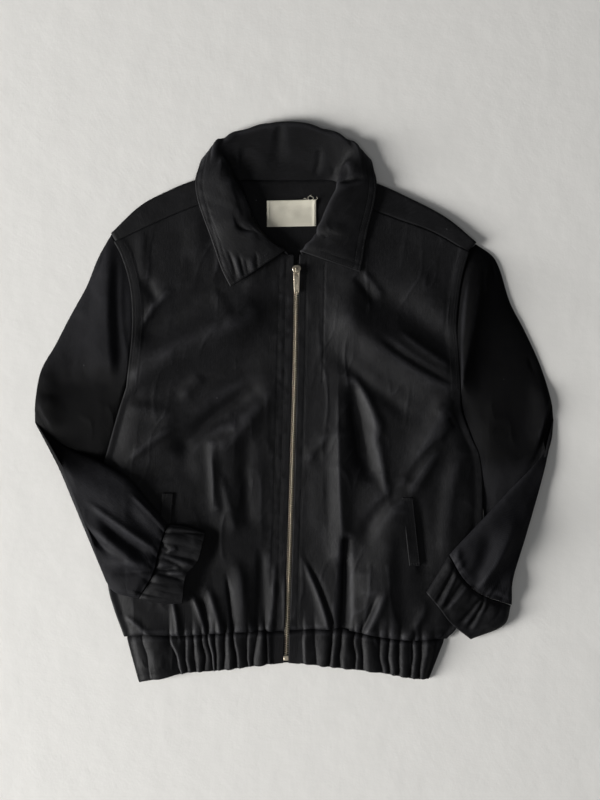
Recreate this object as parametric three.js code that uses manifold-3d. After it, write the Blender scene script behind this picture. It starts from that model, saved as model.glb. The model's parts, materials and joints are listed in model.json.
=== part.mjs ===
// A child's black denim blouson with a zip front, laid flat on its back with both forearms folded in.
// Millimetres, +Z up from the surface it lies on, +Y towards the collar, +X towards the wearer's left.
// Every cloth piece is the middle surface of one layer, worked out from outlines and heights, then given
// its wall. "left" and "right" are the wearer's.
import * as THREE from "three";
import { mergeVertices } from "three/addons/utils/BufferGeometryUtils.js";
import Module from "manifold-3d";

// ---------------------------------------------------------------- driving dimensions
const CLOTH = 1.2; // wall of one layer of cloth
const CASING = 1.6; // wall of a folded elastic casing
const SEAM_GAP = 0.3; // clear space between two pieces at a seam
const SEAM_EASE = 0.4; // more, where straight facets meet along a curved seam
const TRIM = 1.0; // wall of zip tape, welts and label

const BACK_MIDDLE = CLOTH / 2; // the back lies on the surface
const FRONT_LOWEST = BACK_MIDDLE + CLOTH + SEAM_GAP; // a front's middle where it meets the back
const FRONT_REST = 4.2; // a front's middle where it lies slack over the zip tapes
const CHEST_RISE = 3.2; // how far each front domes over the layers below
const SIDE_ROLL = 16; // how far in from the side seam a front has come up to its full height

const SLEEVE_PUFF = 5; // distance between the two layers of a flattened sleeve
const CREASE_INNER_RADIUS = 1.4; // tightest turn of the cloth inside the folded elbow
const CUFF_PUFF = 5.2;
const LAID_CLEARANCE = 3.4; // from a front's middle to the middle of a sleeve or cuff laid on it

const ZIP_OPENING = 5.4; // between the two folded front edges, where the teeth show
const TAPE_WIDTH = 12;
const TEETH_WIDTH = 4.6; // both rows of teeth, meshed
const TEETH_HEIGHT = 2.4;
const ZIP_TOP = 141;
const ZIP_FOOT = -259;
const STOP_LENGTH = 5;
const STOP_WIDTH = 4.6;
const STOP_RISE = 0.4; // of the bottom stop over the teeth
const SLIDER = { y: 130, length: 11, width: 8.6, neckWidth: 6, plate: 1.3 };
const BAIL = { width: 2.2, length: 5.4, thickness: 1.2 }; // the loop on the slider that holds the tab
const TAB = { length: 24, width: 6.6, endWidth: 5, thickness: 1.4, slotWidth: 3, slotLength: 4.6 };
const TAB_LIFT = 0.9; // between the slider's plate and the bar of the tab
const TAB_DROP = 5; // degrees that the tab hangs below level, its end on the teeth

const BLACK_DENIM = { color: 0x17181b, roughness: 0.9, metalness: 0 };
const BLACK_TAPE = { color: 0x121214, roughness: 0.8, metalness: 0 };
const AGED_BRASS = { color: 0x8c7d62, roughness: 0.45, metalness: 0.9 };
const CREAM_WOVEN = { color: 0xd9d4c3, roughness: 0.85, metalness: 0 };

// ---------------------------------------------------------------- outlines, as short tables of x, y
// The centre line of the zip, which leans a little from foot to top.
const ZIP_LINE = [
  { x: -8.5, y: -261 },
  { x: -4.5, y: -139 },
  { x: 0.5, y: 29 },
  { x: 2.5, y: 149 },
];

const BODY = {
  right: {
    side: [
      { x: -168, y: -235 },
      { x: -178.5, y: -206 },
      { x: -183.5, y: -187 },
      { x: -187.5, y: -129 },
      { x: -189, y: -67 },
      { x: -184, y: -47 },
      { x: -172, y: -5 },
      { x: -165.5, y: 14 },
    ],
    armhole: [
      { x: -165.5, y: 14 },
      { x: -161.5, y: 49 },
      { x: -159.5, y: 83 },
      { x: -162.5, y: 118 },
      { x: -171.5, y: 147 },
      { x: -178, y: 159 },
    ],
    shoulder: [
      { x: -182, y: 166 },
      { x: -152.5, y: 194 },
      { x: -126.5, y: 208 },
      { x: -99.5, y: 219 },
      { x: -66, y: 225 },
    ],
    forwardSeam: [
      { x: -178, y: 159 },
      { x: -133.5, y: 180 },
      { x: -94.5, y: 196 },
      { x: -68, y: 203 },
    ],
    neckline: [
      { x: -68, y: 203 },
      { x: -66, y: 184 },
      { x: -57, y: 165 },
      { x: -34, y: 153 },
      { x: -1, y: 146 },
    ],
    hemSeam: [
      { x: -10, y: -230.5 },
      { x: -60, y: -230.5 },
      { x: -116, y: -234 },
      { x: -146, y: -233 },
      { x: -168, y: -235 },
    ],
    hemEdge: [
      { x: -11, y: -261 },
      { x: -77, y: -269 },
      { x: -109, y: -271.5 },
      { x: -132, y: -276.5 },
      { x: -155, y: -280.5 },
    ],
    hemCorner: { x: -167, y: -236.6 },
  },
  left: {
    side: [
      { x: 150, y: -237 },
      { x: 160, y: -226 },
      { x: 181, y: -159 },
      { x: 186, y: -99 },
      { x: 182.5, y: -53 },
      { x: 176.5, y: -40 },
      { x: 164.5, y: -8 },
      { x: 163.5, y: 8 },
    ],
    armhole: [
      { x: 163.5, y: 8 },
      { x: 161.5, y: 49 },
      { x: 159.5, y: 75 },
      { x: 161.5, y: 101 },
      { x: 165.5, y: 126 },
      { x: 172, y: 149 },
    ],
    shoulder: [
      { x: 180, y: 157 },
      { x: 151.5, y: 181 },
      { x: 112.5, y: 202 },
      { x: 81.5, y: 216 },
      { x: 48, y: 225 },
    ],
    forwardSeam: [
      { x: 172, y: 149 },
      { x: 138.5, y: 168 },
      { x: 103.5, y: 181 },
      { x: 79.5, y: 190 },
      { x: 51, y: 200 },
    ],
    neckline: [
      { x: 51, y: 200 },
      { x: 45, y: 183 },
      { x: 35, y: 166 },
      { x: 20, y: 154 },
      { x: 6, y: 146 },
    ],
    hemSeam: [
      { x: -3, y: -230 },
      { x: 46, y: -228 },
      { x: 89, y: -235.5 },
      { x: 120, y: -238.5 },
      { x: 150, y: -237 },
    ],
    hemEdge: [
      { x: -3, y: -261 },
      { x: 41, y: -266 },
      { x: 85, y: -271 },
      { x: 123, y: -277.5 },
      { x: 134, y: -277 },
    ],
    hemCorner: { x: 149, y: -238.6 },
  },
};

// The sleeves as flattened tubes. The upper part runs beside the body to the elbow crease, which is the
// outer silhouette there, and the forearm comes back over it.
const SLEEVE = {
  right: {
    outer: [
      { x: -181.5, y: 166 },
      { x: -195.5, y: 142 },
      { x: -207.5, y: 114 },
      { x: -223.5, y: 85 },
      { x: -238.5, y: 56 },
      { x: -253, y: 30 },
      { x: -259, y: -4 },
      { x: -259, y: -21 },
    ],
    under: [
      { x: -166.8, y: 13 },
      { x: -173.3, y: -5 },
      { x: -185.5, y: -47 },
      { x: -191.2, y: -67 },
      { x: -189.5, y: -129 },
      { x: -187, y: -181 },
    ],
    crease: [
      { x: -259, y: -21 },
      { x: -235, y: -66 },
      { x: -221.5, y: -98 },
      { x: -204, y: -140 },
      { x: -187, y: -181 },
    ],
    forearmTop: [
      { x: -259, y: -21 },
      { x: -227.5, y: -46 },
      { x: -193.5, y: -60 },
      { x: -164.5, y: -78 },
      { x: -150.5, y: -94 },
      { x: -127, y: -122.5 },
    ],
    forearmUnder: [
      { x: -187, y: -181 },
      { x: -179, y: -190 },
      { x: -155.5, y: -196 },
    ],
    cuffSeam: [
      { x: -127, y: -122.5 },
      { x: -135, y: -148 },
      { x: -140.5, y: -171 },
      { x: -155.5, y: -196 },
    ],
    cuffTop: [
      { x: -126.4, y: -122.6 },
      { x: -110, y: -124 },
      { x: -88.5, y: -131 },
    ],
    cuffUnder: [
      { x: -154.9, y: -196.6 },
      { x: -132, y: -201 },
      { x: -111.5, y: -201.5 },
    ],
    cuffOpening: [
      { x: -88.5, y: -131 },
      { x: -96.5, y: -160 },
      { x: -107, y: -172 },
      { x: -111.5, y: -201.5 },
    ],
    away: { x: -0.92, y: -0.39 },
  },
  left: {
    outer: [
      { x: 180, y: 156 },
      { x: 197, y: 144 },
      { x: 204, y: 132 },
      { x: 215.5, y: 97 },
      { x: 229.5, y: 70 },
      { x: 246.5, y: 32 },
      { x: 257, y: -4 },
      { x: 258.5, y: -19 },
    ],
    under: [
      { x: 165.2, y: 7 },
      { x: 167.2, y: -10 },
      { x: 179.2, y: -42 },
      { x: 185.6, y: -60 },
      { x: 188.6, y: -99 },
      { x: 194, y: -130 },
      { x: 214, y: -180 },
    ],
    crease: [
      { x: 258.5, y: -19 },
      { x: 249, y: -62 },
      { x: 237, y: -107 },
      { x: 224.5, y: -150 },
      { x: 214, y: -180 },
    ],
    forearmTop: [
      { x: 258.5, y: -19 },
      { x: 254, y: -45 },
      { x: 210, y: -94 },
      { x: 167.5, y: -139 },
      { x: 154.5, y: -153 },
    ],
    forearmUnder: [
      { x: 214, y: -180 },
      { x: 216.5, y: -192 },
      { x: 216.5, y: -203 },
    ],
    cuffSeam: [
      { x: 154.5, y: -153 },
      { x: 168, y: -176 },
      { x: 185, y: -191 },
      { x: 216.5, y: -203 },
    ],
    cuffTop: [
      { x: 154.1, y: -153.7 },
      { x: 143, y: -172 },
      { x: 131.5, y: -190.5 },
    ],
    cuffUnder: [
      { x: 216, y: -203.8 },
      { x: 210, y: -222 },
      { x: 176, y: -237.5 },
    ],
    cuffOpening: [
      { x: 131.5, y: -190.5 },
      { x: 144.5, y: -206 },
      { x: 155.5, y: -220.5 },
      { x: 176, y: -237.5 },
    ],
    away: { x: 0.96, y: -0.27 },
  },
};

// The largest folds of the fronts: a line from x1, y1 to x2, y2, its half width, and its rise, which is
// negative for a trough.
const FRONT_FOLDS = [
  { x1: -157, y1: 44, x2: -38, y2: 116, width: 17, rise: 1.8 },
  { x1: -153, y1: 5, x2: -22, y2: 48, width: 17, rise: -1.6 },
  { x1: -123, y1: -42, x2: -39, y2: 5, width: 15, rise: 1.6 },
  { x1: -85, y1: -46, x2: -80, y2: -100, width: 5, rise: 2.4 },
  { x1: -42, y1: -30, x2: -44, y2: -90, width: 9, rise: -1.2 },
  { x1: 38, y1: 56, x2: 157, y2: -3, width: 16, rise: 1.8 },
  { x1: 30, y1: 22, x2: 82, y2: -63, width: 14, rise: -1.4 },
  { x1: 56, y1: 5, x2: 70, y2: -56, width: 8, rise: -1.6 },
  { x1: 42, y1: -36, x2: 44, y2: -150, width: 10, rise: 2.2 },
  { x1: 50, y1: -140, x2: 50, y2: -226, width: 6, rise: -2.2 },
  { x1: 157, y1: -12, x2: 116, y2: -84, width: 12, rise: -1.6 },
  { x1: 140, y1: -60, x2: 132, y2: -210, width: 12, rise: 1.8 },
];

// The collar, one section every few centimetres round the neck from the wearer's right front end over the
// back to the left. A section runs from the neck seam n up the stand, round the roll r and down the fall
// to its edge f. stand, roll, turn and edge are heights: half way up the stand, at the roll's farthest
// point, just past it, and at the edge of the fall.
const COLLAR_COLUMNS = ["nx", "ny", "rx", "ry", "fx", "fy", "neck", "stand", "roll", "turn", "edge"];
const COLLAR_SECTIONS = [
  [-6, 146, -9, 150, -63.5, 114, 5.7, 7.2, 8.4, 9.6, 9.2],
  [-24, 151, -22, 159, -72, 131, 5.7, 8.2, 10.2, 12.2, 8.6],
  [-44, 158, -43, 167, -79, 151, 5.7, 9, 11.5, 14, 8.4],
  [-62, 168, -58, 173, -86.5, 172, 5.7, 10, 12.5, 15.5, 8.6],
  [-67, 184, -58, 188, -92, 187, 5.7, 10.5, 13.5, 16.5, 9],
  [-69, 200, -57, 203, -96, 200, 5.9, 11, 14, 17, 9.6],
  [-67, 213, -61, 218, -98.5, 215, 5.9, 11.5, 14, 17, 9.8],
  [-62, 220, -68, 236, -96.5, 229, 4.6, 11, 13, 15.5, 7.4],
  [-54, 221, -79, 259, -87, 246, 2.4, 9.4, 9, 6.4, 2.2],
  [-43, 221, -61, 271, -62, 238, 2.4, 9, 6.4, 1.9, 0.6],
  [-27, 221, -37, 278, -38, 232, 2.4, 9, 6, 1.2, 0.6],
  [-11, 221, -12, 279.4, -12, 230, 2.4, 9, 6, 1.2, 0.6],
  [4, 221, 14, 278, 14, 231, 2.4, 9, 6, 1.2, 0.6],
  [21, 221, 42, 270, 44, 237, 2.4, 9, 6.4, 1.9, 0.6],
  [34, 221, 62, 256, 72, 243, 2.4, 9.4, 9, 6.4, 2.2],
  [42, 219, 52, 233, 79.5, 228, 4.6, 11, 13, 15.5, 7.4],
  [48, 212, 43, 217, 81.5, 214, 5.9, 11.5, 14, 17, 9.8],
  [51, 199, 37, 202, 80, 199, 5.9, 11, 14, 17, 9.6],
  [46, 185, 30, 187, 76.5, 184, 5.7, 10.5, 13.5, 16.5, 9],
  [37, 171, 23, 172, 73, 170, 5.7, 10, 12.5, 15, 8.6],
  [27, 160, 19, 163, 70, 155, 5.7, 9, 11.5, 13.5, 8.4],
  [17, 152, 12, 156, 68, 141, 5.7, 8.2, 10.2, 12, 8.6],
  [8, 146, 6, 149.5, 65.5, 129, 5.7, 7.2, 8.4, 9.6, 9.2],
].map((row) => Object.fromEntries(row.map((value, k) => [COLLAR_COLUMNS[k], value])));

// ---------------------------------------------------------------- small helpers
const lerp = THREE.MathUtils.lerp;
const smoothstep = THREE.MathUtils.smoothstep;
const clamp = THREE.MathUtils.clamp;

// A smooth curve through a table of x, y, as a function of the share of its length.
function outline(rows) {
  const points = rows.map((row) => new THREE.Vector3(row.x, row.y, 0));
  const curve = new THREE.CatmullRomCurve3(points, false, "centripetal");
  return (share) => curve.getPointAt(clamp(share, 0, 1));
}

// The x of a table of x, y at a given y, the table rising in y.
function xAt(rows, y) {
  const above = rows.findIndex((row) => row.y >= y);
  if (above === 0) return rows[0].x;
  if (above < 0) return rows[rows.length - 1].x;
  const a = rows[above - 1];
  const b = rows[above];
  return lerp(a.x, b.x, (y - a.y) / (b.y - a.y));
}

// Two curves end to end, the first taking the given share.
const joined = (first, second, share) => (t) =>
  t < share ? first(t / share) : second((t - share) / (1 - share));

// Points of a four-sided patch between two curves across it and two curves up it.
function patchPoint(foot, head, inner, outer, u, v) {
  const across = foot(u).lerp(head(u), v);
  const up = inner(v).lerp(outer(v), u);
  const corners = foot(0).lerp(foot(1), u).lerp(head(0).lerp(head(1), u), v);
  return across.add(up).sub(corners);
}

// The closed solid of a layer of cloth whose middle surface is rows of points. Each vertex moves half a
// wall along its normal to either side, never below the surface that the jacket lies on. A ring of
// cloth closes each row on itself, and present leaves cells out.
function clothSolid(rows, wall, { ring = false, present = () => true } = {}) {
  const across = rows[0].length;
  const middle = rows.flat();
  const cells = [];
  for (let i = 0; i + 1 < rows.length; i++) {
    for (let j = 0; j < (ring ? across : across - 1); j++) {
      if (!present(i, j)) continue;
      const next = (j + 1) % across;
      cells.push([i * across + j, i * across + next, (i + 1) * across + next, (i + 1) * across + j]);
    }
  }
  const normals = middle.map(() => new THREE.Vector3());
  for (const [a, b, c, d] of cells) {
    const diagonal = middle[c].clone().sub(middle[a]);
    const normal = diagonal.cross(middle[d].clone().sub(middle[b]));
    for (const corner of [a, b, c, d]) normals[corner].add(normal);
  }
  const used = [...new Set(cells.flat())];
  const place = new Map(used.map((vertex, k) => [vertex, k]));
  const skins = [0.5, -0.5].flatMap((side) =>
    used.map((vertex) => {
      const moved = normals[vertex].clone().normalize().multiplyScalar(side * wall);
      moved.add(middle[vertex]);
      return moved.setZ(Math.max(moved.z, 0));
    }),
  );
  const faces = [];
  const edges = new Map();
  for (const cell of cells) {
    const [a, b, c, d] = cell.map((vertex) => place.get(vertex));
    const inner = used.length;
    faces.push([a, b, c], [a, c, d]);
    faces.push([a + inner, c + inner, b + inner], [a + inner, d + inner, c + inner]);
    for (const [p, q] of [[a, b], [b, c], [c, d], [d, a]]) {
      if (!edges.delete(`${q},${p}`)) edges.set(`${p},${q}`, [p, q]);
    }
  }
  for (const [p, q] of edges.values()) {
    faces.push([q, p, p + used.length], [q, p + used.length, q + used.length]);
  }
  return closedGeometry(skins, faces);
}

// Geometry from shared points and triangles, turned to face out.
function closedGeometry(points, faces) {
  const volume = faces.reduce((sum, [a, b, c]) => {
    return sum + points[a].dot(points[b].clone().cross(points[c]));
  }, 0);
  const index = faces.flatMap(([a, b, c]) => (volume > 0 ? [a, b, c] : [a, c, b]));
  const geometry = new THREE.BufferGeometry();
  geometry.setAttribute("position", new THREE.Float32BufferAttribute(points.flatMap((p) => p.toArray()), 3));
  geometry.setIndex(index);
  geometry.computeVertexNormals();
  return geometry;
}

const jacket = new THREE.Group();

function addPiece(name, geometry, finish) {
  const mesh = new THREE.Mesh(geometry, new THREE.MeshStandardMaterial(finish));
  mesh.name = name;
  jacket.add(mesh);
  return mesh;
}

// Whole numbers 0 to count as shares of count.
const shares = (count) => Array.from({ length: count + 1 }, (_, k) => k / count);

// ---------------------------------------------------------------- heights of the layers
// How far a point lies from a fold's line.
function fromFold(x, y, fold) {
  const dx = fold.x2 - fold.x1;
  const dy = fold.y2 - fold.y1;
  const share = ((x - fold.x1) * dx + (y - fold.y1) * dy) / (dx * dx + dy * dy);
  const near = clamp(share, 0, 1);
  return Math.hypot(x - fold.x1 - near * dx, y - fold.y1 - near * dy);
}

const foldsAt = (x, y) =>
  FRONT_FOLDS.reduce((sum, fold) => {
    return sum + fold.rise * Math.exp(-((fromFold(x, y, fold) / fold.width) ** 2));
  }, 0);

// The middle surface of a front: lowest at the side seam, slack over the zip, domed over the chest.
function frontHeight(x, y) {
  const side = x < xAt(ZIP_LINE, y) ? "right" : "left";
  const armpit = BODY[side].armhole[0];
  const sideward = side === "right" ? -1 : 1;
  const inside = sideward * (xAt(BODY[side].side, y) - x);
  const belowArmpit = 1 - smoothstep(y, armpit.y - 30, armpit.y + 14);
  const come = Math.sqrt(clamp(inside / SIDE_ROLL, 0, 1));
  const up = lerp(1, come * (2 - come), belowArmpit);
  const fromZip = Math.abs(x - xAt(ZIP_LINE, y));
  const slack = smoothstep(fromZip, 12, 60) * (1 - smoothstep(y, 110, 200));
  const full = FRONT_REST + slack * (CHEST_RISE + foldsAt(x, y));
  return lerp(FRONT_LOWEST, Math.max(full, FRONT_REST), up);
}

// The middle surface of whatever is laid on a front or on an upper sleeve.
const laidHeight = (x, y) =>
  Math.max(BACK_MIDDLE + SLEEVE_PUFF + 2 * CREASE_INNER_RADIUS, frontHeight(x, y) + LAID_CLEARANCE);

// How far a curve stands off its own chord at a share of its length.
const sag = (curve, share) => curve(share).sub(curve(0).lerp(curve(1), share));

// How full a flattened tube is at a share of its width: nothing at its two folded edges, all between.
const fullness = (share) => Math.sqrt(1 - (2 * share - 1) ** 4);

// ---------------------------------------------------------------- back
// The back lies flat, and its shoulders turn over the shoulder line to the seams at the front.
const SHOULDER_STEPS = 5;
const SIDE_ROWS = 7;
const ARMHOLE_ROWS = 8;
const NECK_DIP = 2.5; // how far the back's neck edge dips between the shoulders
const SHOULDER_ROWS = [0.25, 1]; // past the roll, as shares of the way to the forward seam

function makeBack() {
  const { right, left } = BODY;
  const shoulderStations = ({ shoulder, forwardSeam }) => {
    return shares(SHOULDER_STEPS).map((k) => ({ at: outline(shoulder)(k), seam: outline(forwardSeam)(k) }));
  };
  const [neckRight, neckLeft] = [right, left].map(({ shoulder }) => shoulder[shoulder.length - 1]);
  const neck = [0.25, 0.5, 0.75].map((k) => ({
    at: new THREE.Vector3(lerp(neckRight.x, neckLeft.x, k), neckRight.y - NECK_DIP, 0),
  }));
  const stations = [...shoulderStations(right), ...neck, ...shoulderStations(left).reverse()];
  const across = stations.length - 1;
  const flatRows = SIDE_ROWS + ARMHOLE_ROWS;
  const head = (u) => stations[Math.round(u * across)].at.clone();
  const foot = outline([...right.hemSeam].reverse().concat(left.hemSeam));
  const edge = ({ side, armhole, shoulder }) =>
    joined(outline(side), outline([...armhole, shoulder[0]]), SIDE_ROWS / flatRows);
  const rows = shares(flatRows).map((v) =>
    shares(across).map((u) => patchPoint(foot, head, edge(right), edge(left), u, v).setZ(BACK_MIDDLE)),
  );
  const wrapRow = (place) =>
    stations.map(({ at, seam }) => {
      if (!seam) return at.clone().setZ(BACK_MIDDLE);
      return place(at, seam, frontHeight(seam.x, seam.y), at.clone().sub(seam).normalize());
    });
  const rollRow = wrapRow((at, seam, top, outward) => {
    const roll = (top - BACK_MIDDLE) / 2;
    return at.clone().addScaledVector(outward, roll / 3).setZ(BACK_MIDDLE + roll);
  });
  const rowsToSeam = SHOULDER_ROWS.map((over) =>
    wrapRow((at, seam, top, outward) => {
      const end = seam.clone().addScaledVector(outward, SEAM_GAP + SEAM_EASE);
      return at.clone().lerp(end, over).setZ(top);
    }),
  );
  rows.push(rollRow, ...rowsToSeam);
  const present = (i, j) => i < flatRows || j < SHOULDER_STEPS || j >= across - SHOULDER_STEPS;
  addPiece("back", clothSolid(rows, CLOTH, { present }), BLACK_DENIM);
}

// ---------------------------------------------------------------- fronts
const FRONT_COLUMNS = 14;
const NECK_COLUMNS = 6;
const FRONT_SIDE_ROWS = 14;

function makeFront(side) {
  const { side: seam, armhole, neckline, forwardSeam, hemSeam } = BODY[side];
  const sideward = side === "right" ? -1 : 1;
  const edgeOfZip = (y) => xAt(ZIP_LINE, y) + (sideward * ZIP_OPENING) / 2;
  const footY = hemSeam[0].y + SEAM_GAP;
  const topY = neckline[neckline.length - 1].y;
  const foot = outline([{ x: edgeOfZip(footY), y: footY }, ...hemSeam.slice(1)]);
  const neck = outline([{ x: edgeOfZip(topY), y: topY }, ...[...neckline].reverse().slice(1)]);
  const head = joined(neck, outline([...forwardSeam].reverse()), NECK_COLUMNS / FRONT_COLUMNS);
  const inner = (v) => {
    const y = lerp(footY, topY, v);
    return new THREE.Vector3(edgeOfZip(y), y, 0);
  };
  const rowCount = FRONT_SIDE_ROWS + ARMHOLE_ROWS;
  const outer = joined(outline(seam), outline(armhole), FRONT_SIDE_ROWS / rowCount);
  const rows = shares(rowCount).map((v) =>
    shares(FRONT_COLUMNS).map((u) => {
      const point = patchPoint(foot, head, inner, outer, u, v);
      return point.setZ(frontHeight(point.x, point.y));
    }),
  );
  addPiece(`front_${side}`, clothSolid(rows, CLOTH), BLACK_DENIM);
}

// ---------------------------------------------------------------- sleeves
const SLEEVE_CELLS = 9; // across each layer
const UPPER_ROWS = [0, 0.08, 0.22, 0.38, 0.54, 0.7, 0.86]; // shares of the way from armhole to elbow
const FOLD_ROWS = [0, 0.2, 0.4, 0.6, 0.8, 1]; // shares of the half turn at the elbow
const FOREARM_ROWS = [0.2, 0.4, 0.6, 0.8, 0.94, 1]; // shares of the way from elbow to cuff
const HEAD_SHARE = 0.3; // of the upper sleeve, over which it comes down from the front's height

// One ring of a flattened tube, from shares across it: out along one layer and back along the other.
function ringOf(count, point) {
  const step = (k) => (1 - Math.cos((Math.PI * k) / count)) / 2;
  const there = shares(count).map((k) => point(step(k * count), "outer"));
  const back = shares(count)
    .slice(1, -1)
    .reverse()
    .map((k) => point(step(k * count), "inner"));
  return [...there, ...back];
}

function makeSleeve(side) {
  const table = SLEEVE[side];
  const { away } = table;
  const line = Object.fromEntries(
    ["outer", "under", "crease", "forearmTop", "forearmUnder", "cuffSeam"].map((key) => [
      key,
      outline(table[key]),
    ]),
  );
  const armhole = outline([BODY[side].shoulder[0], ...[...BODY[side].armhole].reverse()]);
  const clearOfBody = new THREE.Vector3(Math.sign(away.x), 0.2, 0).multiplyScalar(SEAM_GAP + 2 * SEAM_EASE);
  const rows = [];
  for (const t of UPPER_ROWS) {
    rows.push(
      ringOf(SLEEVE_CELLS, (s, layer) => {
        const point = line.outer(t).lerp(line.under(t), s);
        point.addScaledVector(sag(armhole, s), (1 - t) ** 2);
        point.addScaledVector(clearOfBody, 1 - smoothstep(t, 0, HEAD_SHARE));
        point.addScaledVector(sag(line.crease, s), t ** 3);
        const free = BACK_MIDDLE + SLEEVE_PUFF;
        const top = lerp(frontHeight(point.x, point.y), free, smoothstep(t, 0, HEAD_SHARE));
        const height = layer === "outer" ? BACK_MIDDLE : lerp(BACK_MIDDLE, top, fullness(s));
        return point.setZ(height);
      }),
    );
  }
  for (const turn of FOLD_ROWS) {
    rows.push(
      ringOf(SLEEVE_CELLS, (s, layer) => {
        const point = line.crease(s);
        const laid = laidHeight(point.x, point.y);
        const puff = SLEEVE_PUFF * fullness(s);
        const from = layer === "outer" ? BACK_MIDDLE : BACK_MIDDLE + puff;
        const to = layer === "outer" ? laid + puff : laid;
        const radius = (to - from) / 2;
        point.x += away.x * radius * Math.sin(Math.PI * turn);
        point.y += away.y * radius * Math.sin(Math.PI * turn);
        return point.setZ(lerp(from, to, (1 - Math.cos(Math.PI * turn)) / 2));
      }),
    );
  }
  for (const t of FOREARM_ROWS) {
    rows.push(
      ringOf(SLEEVE_CELLS, (s, layer) => {
        const point = line.forearmTop(t).lerp(line.forearmUnder(t), s);
        point.addScaledVector(sag(line.crease, s), (1 - t) ** 3);
        point.addScaledVector(sag(line.cuffSeam, s), t ** 2);
        const laid = laidHeight(point.x, point.y);
        return point.setZ(layer === "outer" ? laid + SLEEVE_PUFF * fullness(s) : laid);
      }),
    );
  }
  addPiece(`sleeve_${side}`, clothSolid(rows, CLOTH, { ring: true }), BLACK_DENIM);
}

// ---------------------------------------------------------------- cuffs
// A gathered tube on from the sleeve's end, its gathers dying out towards the opening.
const CUFF_GATHERS = 4; // over the width of one layer
const CUFF_GATHER_RISE = 1.1;
const CUFF_GAP = SEAM_GAP + SEAM_EASE; // between the sleeve's end and the cuff
const CUFF_CELLS = 14;
const CUFF_ROWS = 4;

function makeCuff(side) {
  const table = SLEEVE[side];
  const top = outline(table.cuffTop);
  const under = outline(table.cuffUnder);
  const seam = outline(table.cuffSeam);
  const opening = outline(table.cuffOpening);
  const rows = shares(CUFF_ROWS).map((t) =>
    ringOf(CUFF_CELLS, (s, layer) => {
      const point = top(t).lerp(under(t), s);
      point.addScaledVector(sag(seam, s), (1 - t) ** 2);
      point.addScaledVector(sag(opening, s), t ** 2);
      const ahead = top(1).add(under(1)).sub(top(0)).sub(under(0)).setZ(0).normalize();
      point.addScaledVector(ahead, CUFF_GAP * (1 - t));
      const laid = laidHeight(point.x, point.y);
      const gathers = CUFF_GATHER_RISE * Math.sin(2 * Math.PI * CUFF_GATHERS * s) * (1 - 0.7 * t);
      const puff = lerp(SLEEVE_PUFF, CUFF_PUFF, t) * fullness(s);
      return point.setZ(layer === "outer" ? laid + puff + gathers * fullness(s) : laid);
    }),
  );
  addPiece(`cuff_${side}`, clothSolid(rows, CLOTH, { ring: true }), BLACK_DENIM);
}

// ---------------------------------------------------------------- hem band
const HEM_GATHER_RISE = 1.0;
const HEM_GATHERS = 9; // in each front half
const HEM_CELLS = 36;
const HEM_ROWS = 3;
const HEM_BACK_CELLS = 24;
const HEM_BACK_ROWS = 2;
const HEM_SEAM_RISE = 0.9; // of the band over the front's own height, flat beside the zip
const HEM_PUFF = 1.4; // more where it is gathered
const HEM_ROLL = 0.8; // more again at the middle of its width

function makeHemFront(side) {
  const { hemSeam, hemEdge, hemCorner } = BODY[side];
  const sideward = side === "right" ? -1 : 1;
  const cf = (y) => xAt(ZIP_LINE, y) + (sideward * ZIP_OPENING) / 2;
  const headY = hemSeam[0].y - CLOTH / 2 - SEAM_GAP;
  const head = outline([
    { x: cf(headY), y: headY },
    ...hemSeam.slice(1, -1).map(({ x, y }) => ({ x, y: y - CLOTH / 2 - SEAM_GAP })),
    hemCorner,
  ]);
  const edge = outline([{ x: cf(hemEdge[0].y), y: hemEdge[0].y }, ...hemEdge.slice(1)]);
  const rows = shares(HEM_ROWS).map((v) =>
    shares(HEM_CELLS).map((u) => {
      const point = head(u).lerp(edge(u), v);
      const flat = smoothstep(u, 0.1, 0.2) * (1 - smoothstep(u, 0.93, 1));
      const gathers = flat * HEM_GATHER_RISE * Math.sin(2 * Math.PI * HEM_GATHERS * u);
      const rolled = Math.sin(Math.PI * lerp(0.15, 1, v)) * HEM_ROLL;
      const slope = 1 - smoothstep(u, 0.9, 1) * 0.5;
      return point.setZ((FRONT_REST + HEM_PUFF * flat) * slope + HEM_SEAM_RISE + gathers + rolled);
    }),
  );
  addPiece(`hem_front_${side}`, clothSolid(rows, CASING), BLACK_DENIM);
}

function makeHemBack() {
  const { right, left } = BODY;
  const below = (row) => ({ x: row.x, y: row.y - SEAM_GAP - 2 * SEAM_EASE });
  const across = [...right.hemSeam.slice(0, -1).reverse(), ...left.hemSeam.slice(0, -1)];
  const head = outline([right.hemCorner, ...across.map(below), left.hemCorner]);
  const edge = outline([...right.hemEdge].reverse().concat(left.hemEdge));
  const rows = shares(HEM_BACK_ROWS).map((v) =>
    shares(HEM_BACK_CELLS).map((u) => head(u).lerp(edge(u), v).setZ(CASING / 2)),
  );
  addPiece("hem_back", clothSolid(rows, CASING), BLACK_DENIM);
}

// ---------------------------------------------------------------- collar
const SHOULDER_TOP = 205; // below this the collar lies over a front
const FALL_CLEARANCE = 0.8;
const FALL_BULGE = 0.8; // of the fall over the straight line from its roll to its edge

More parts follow.
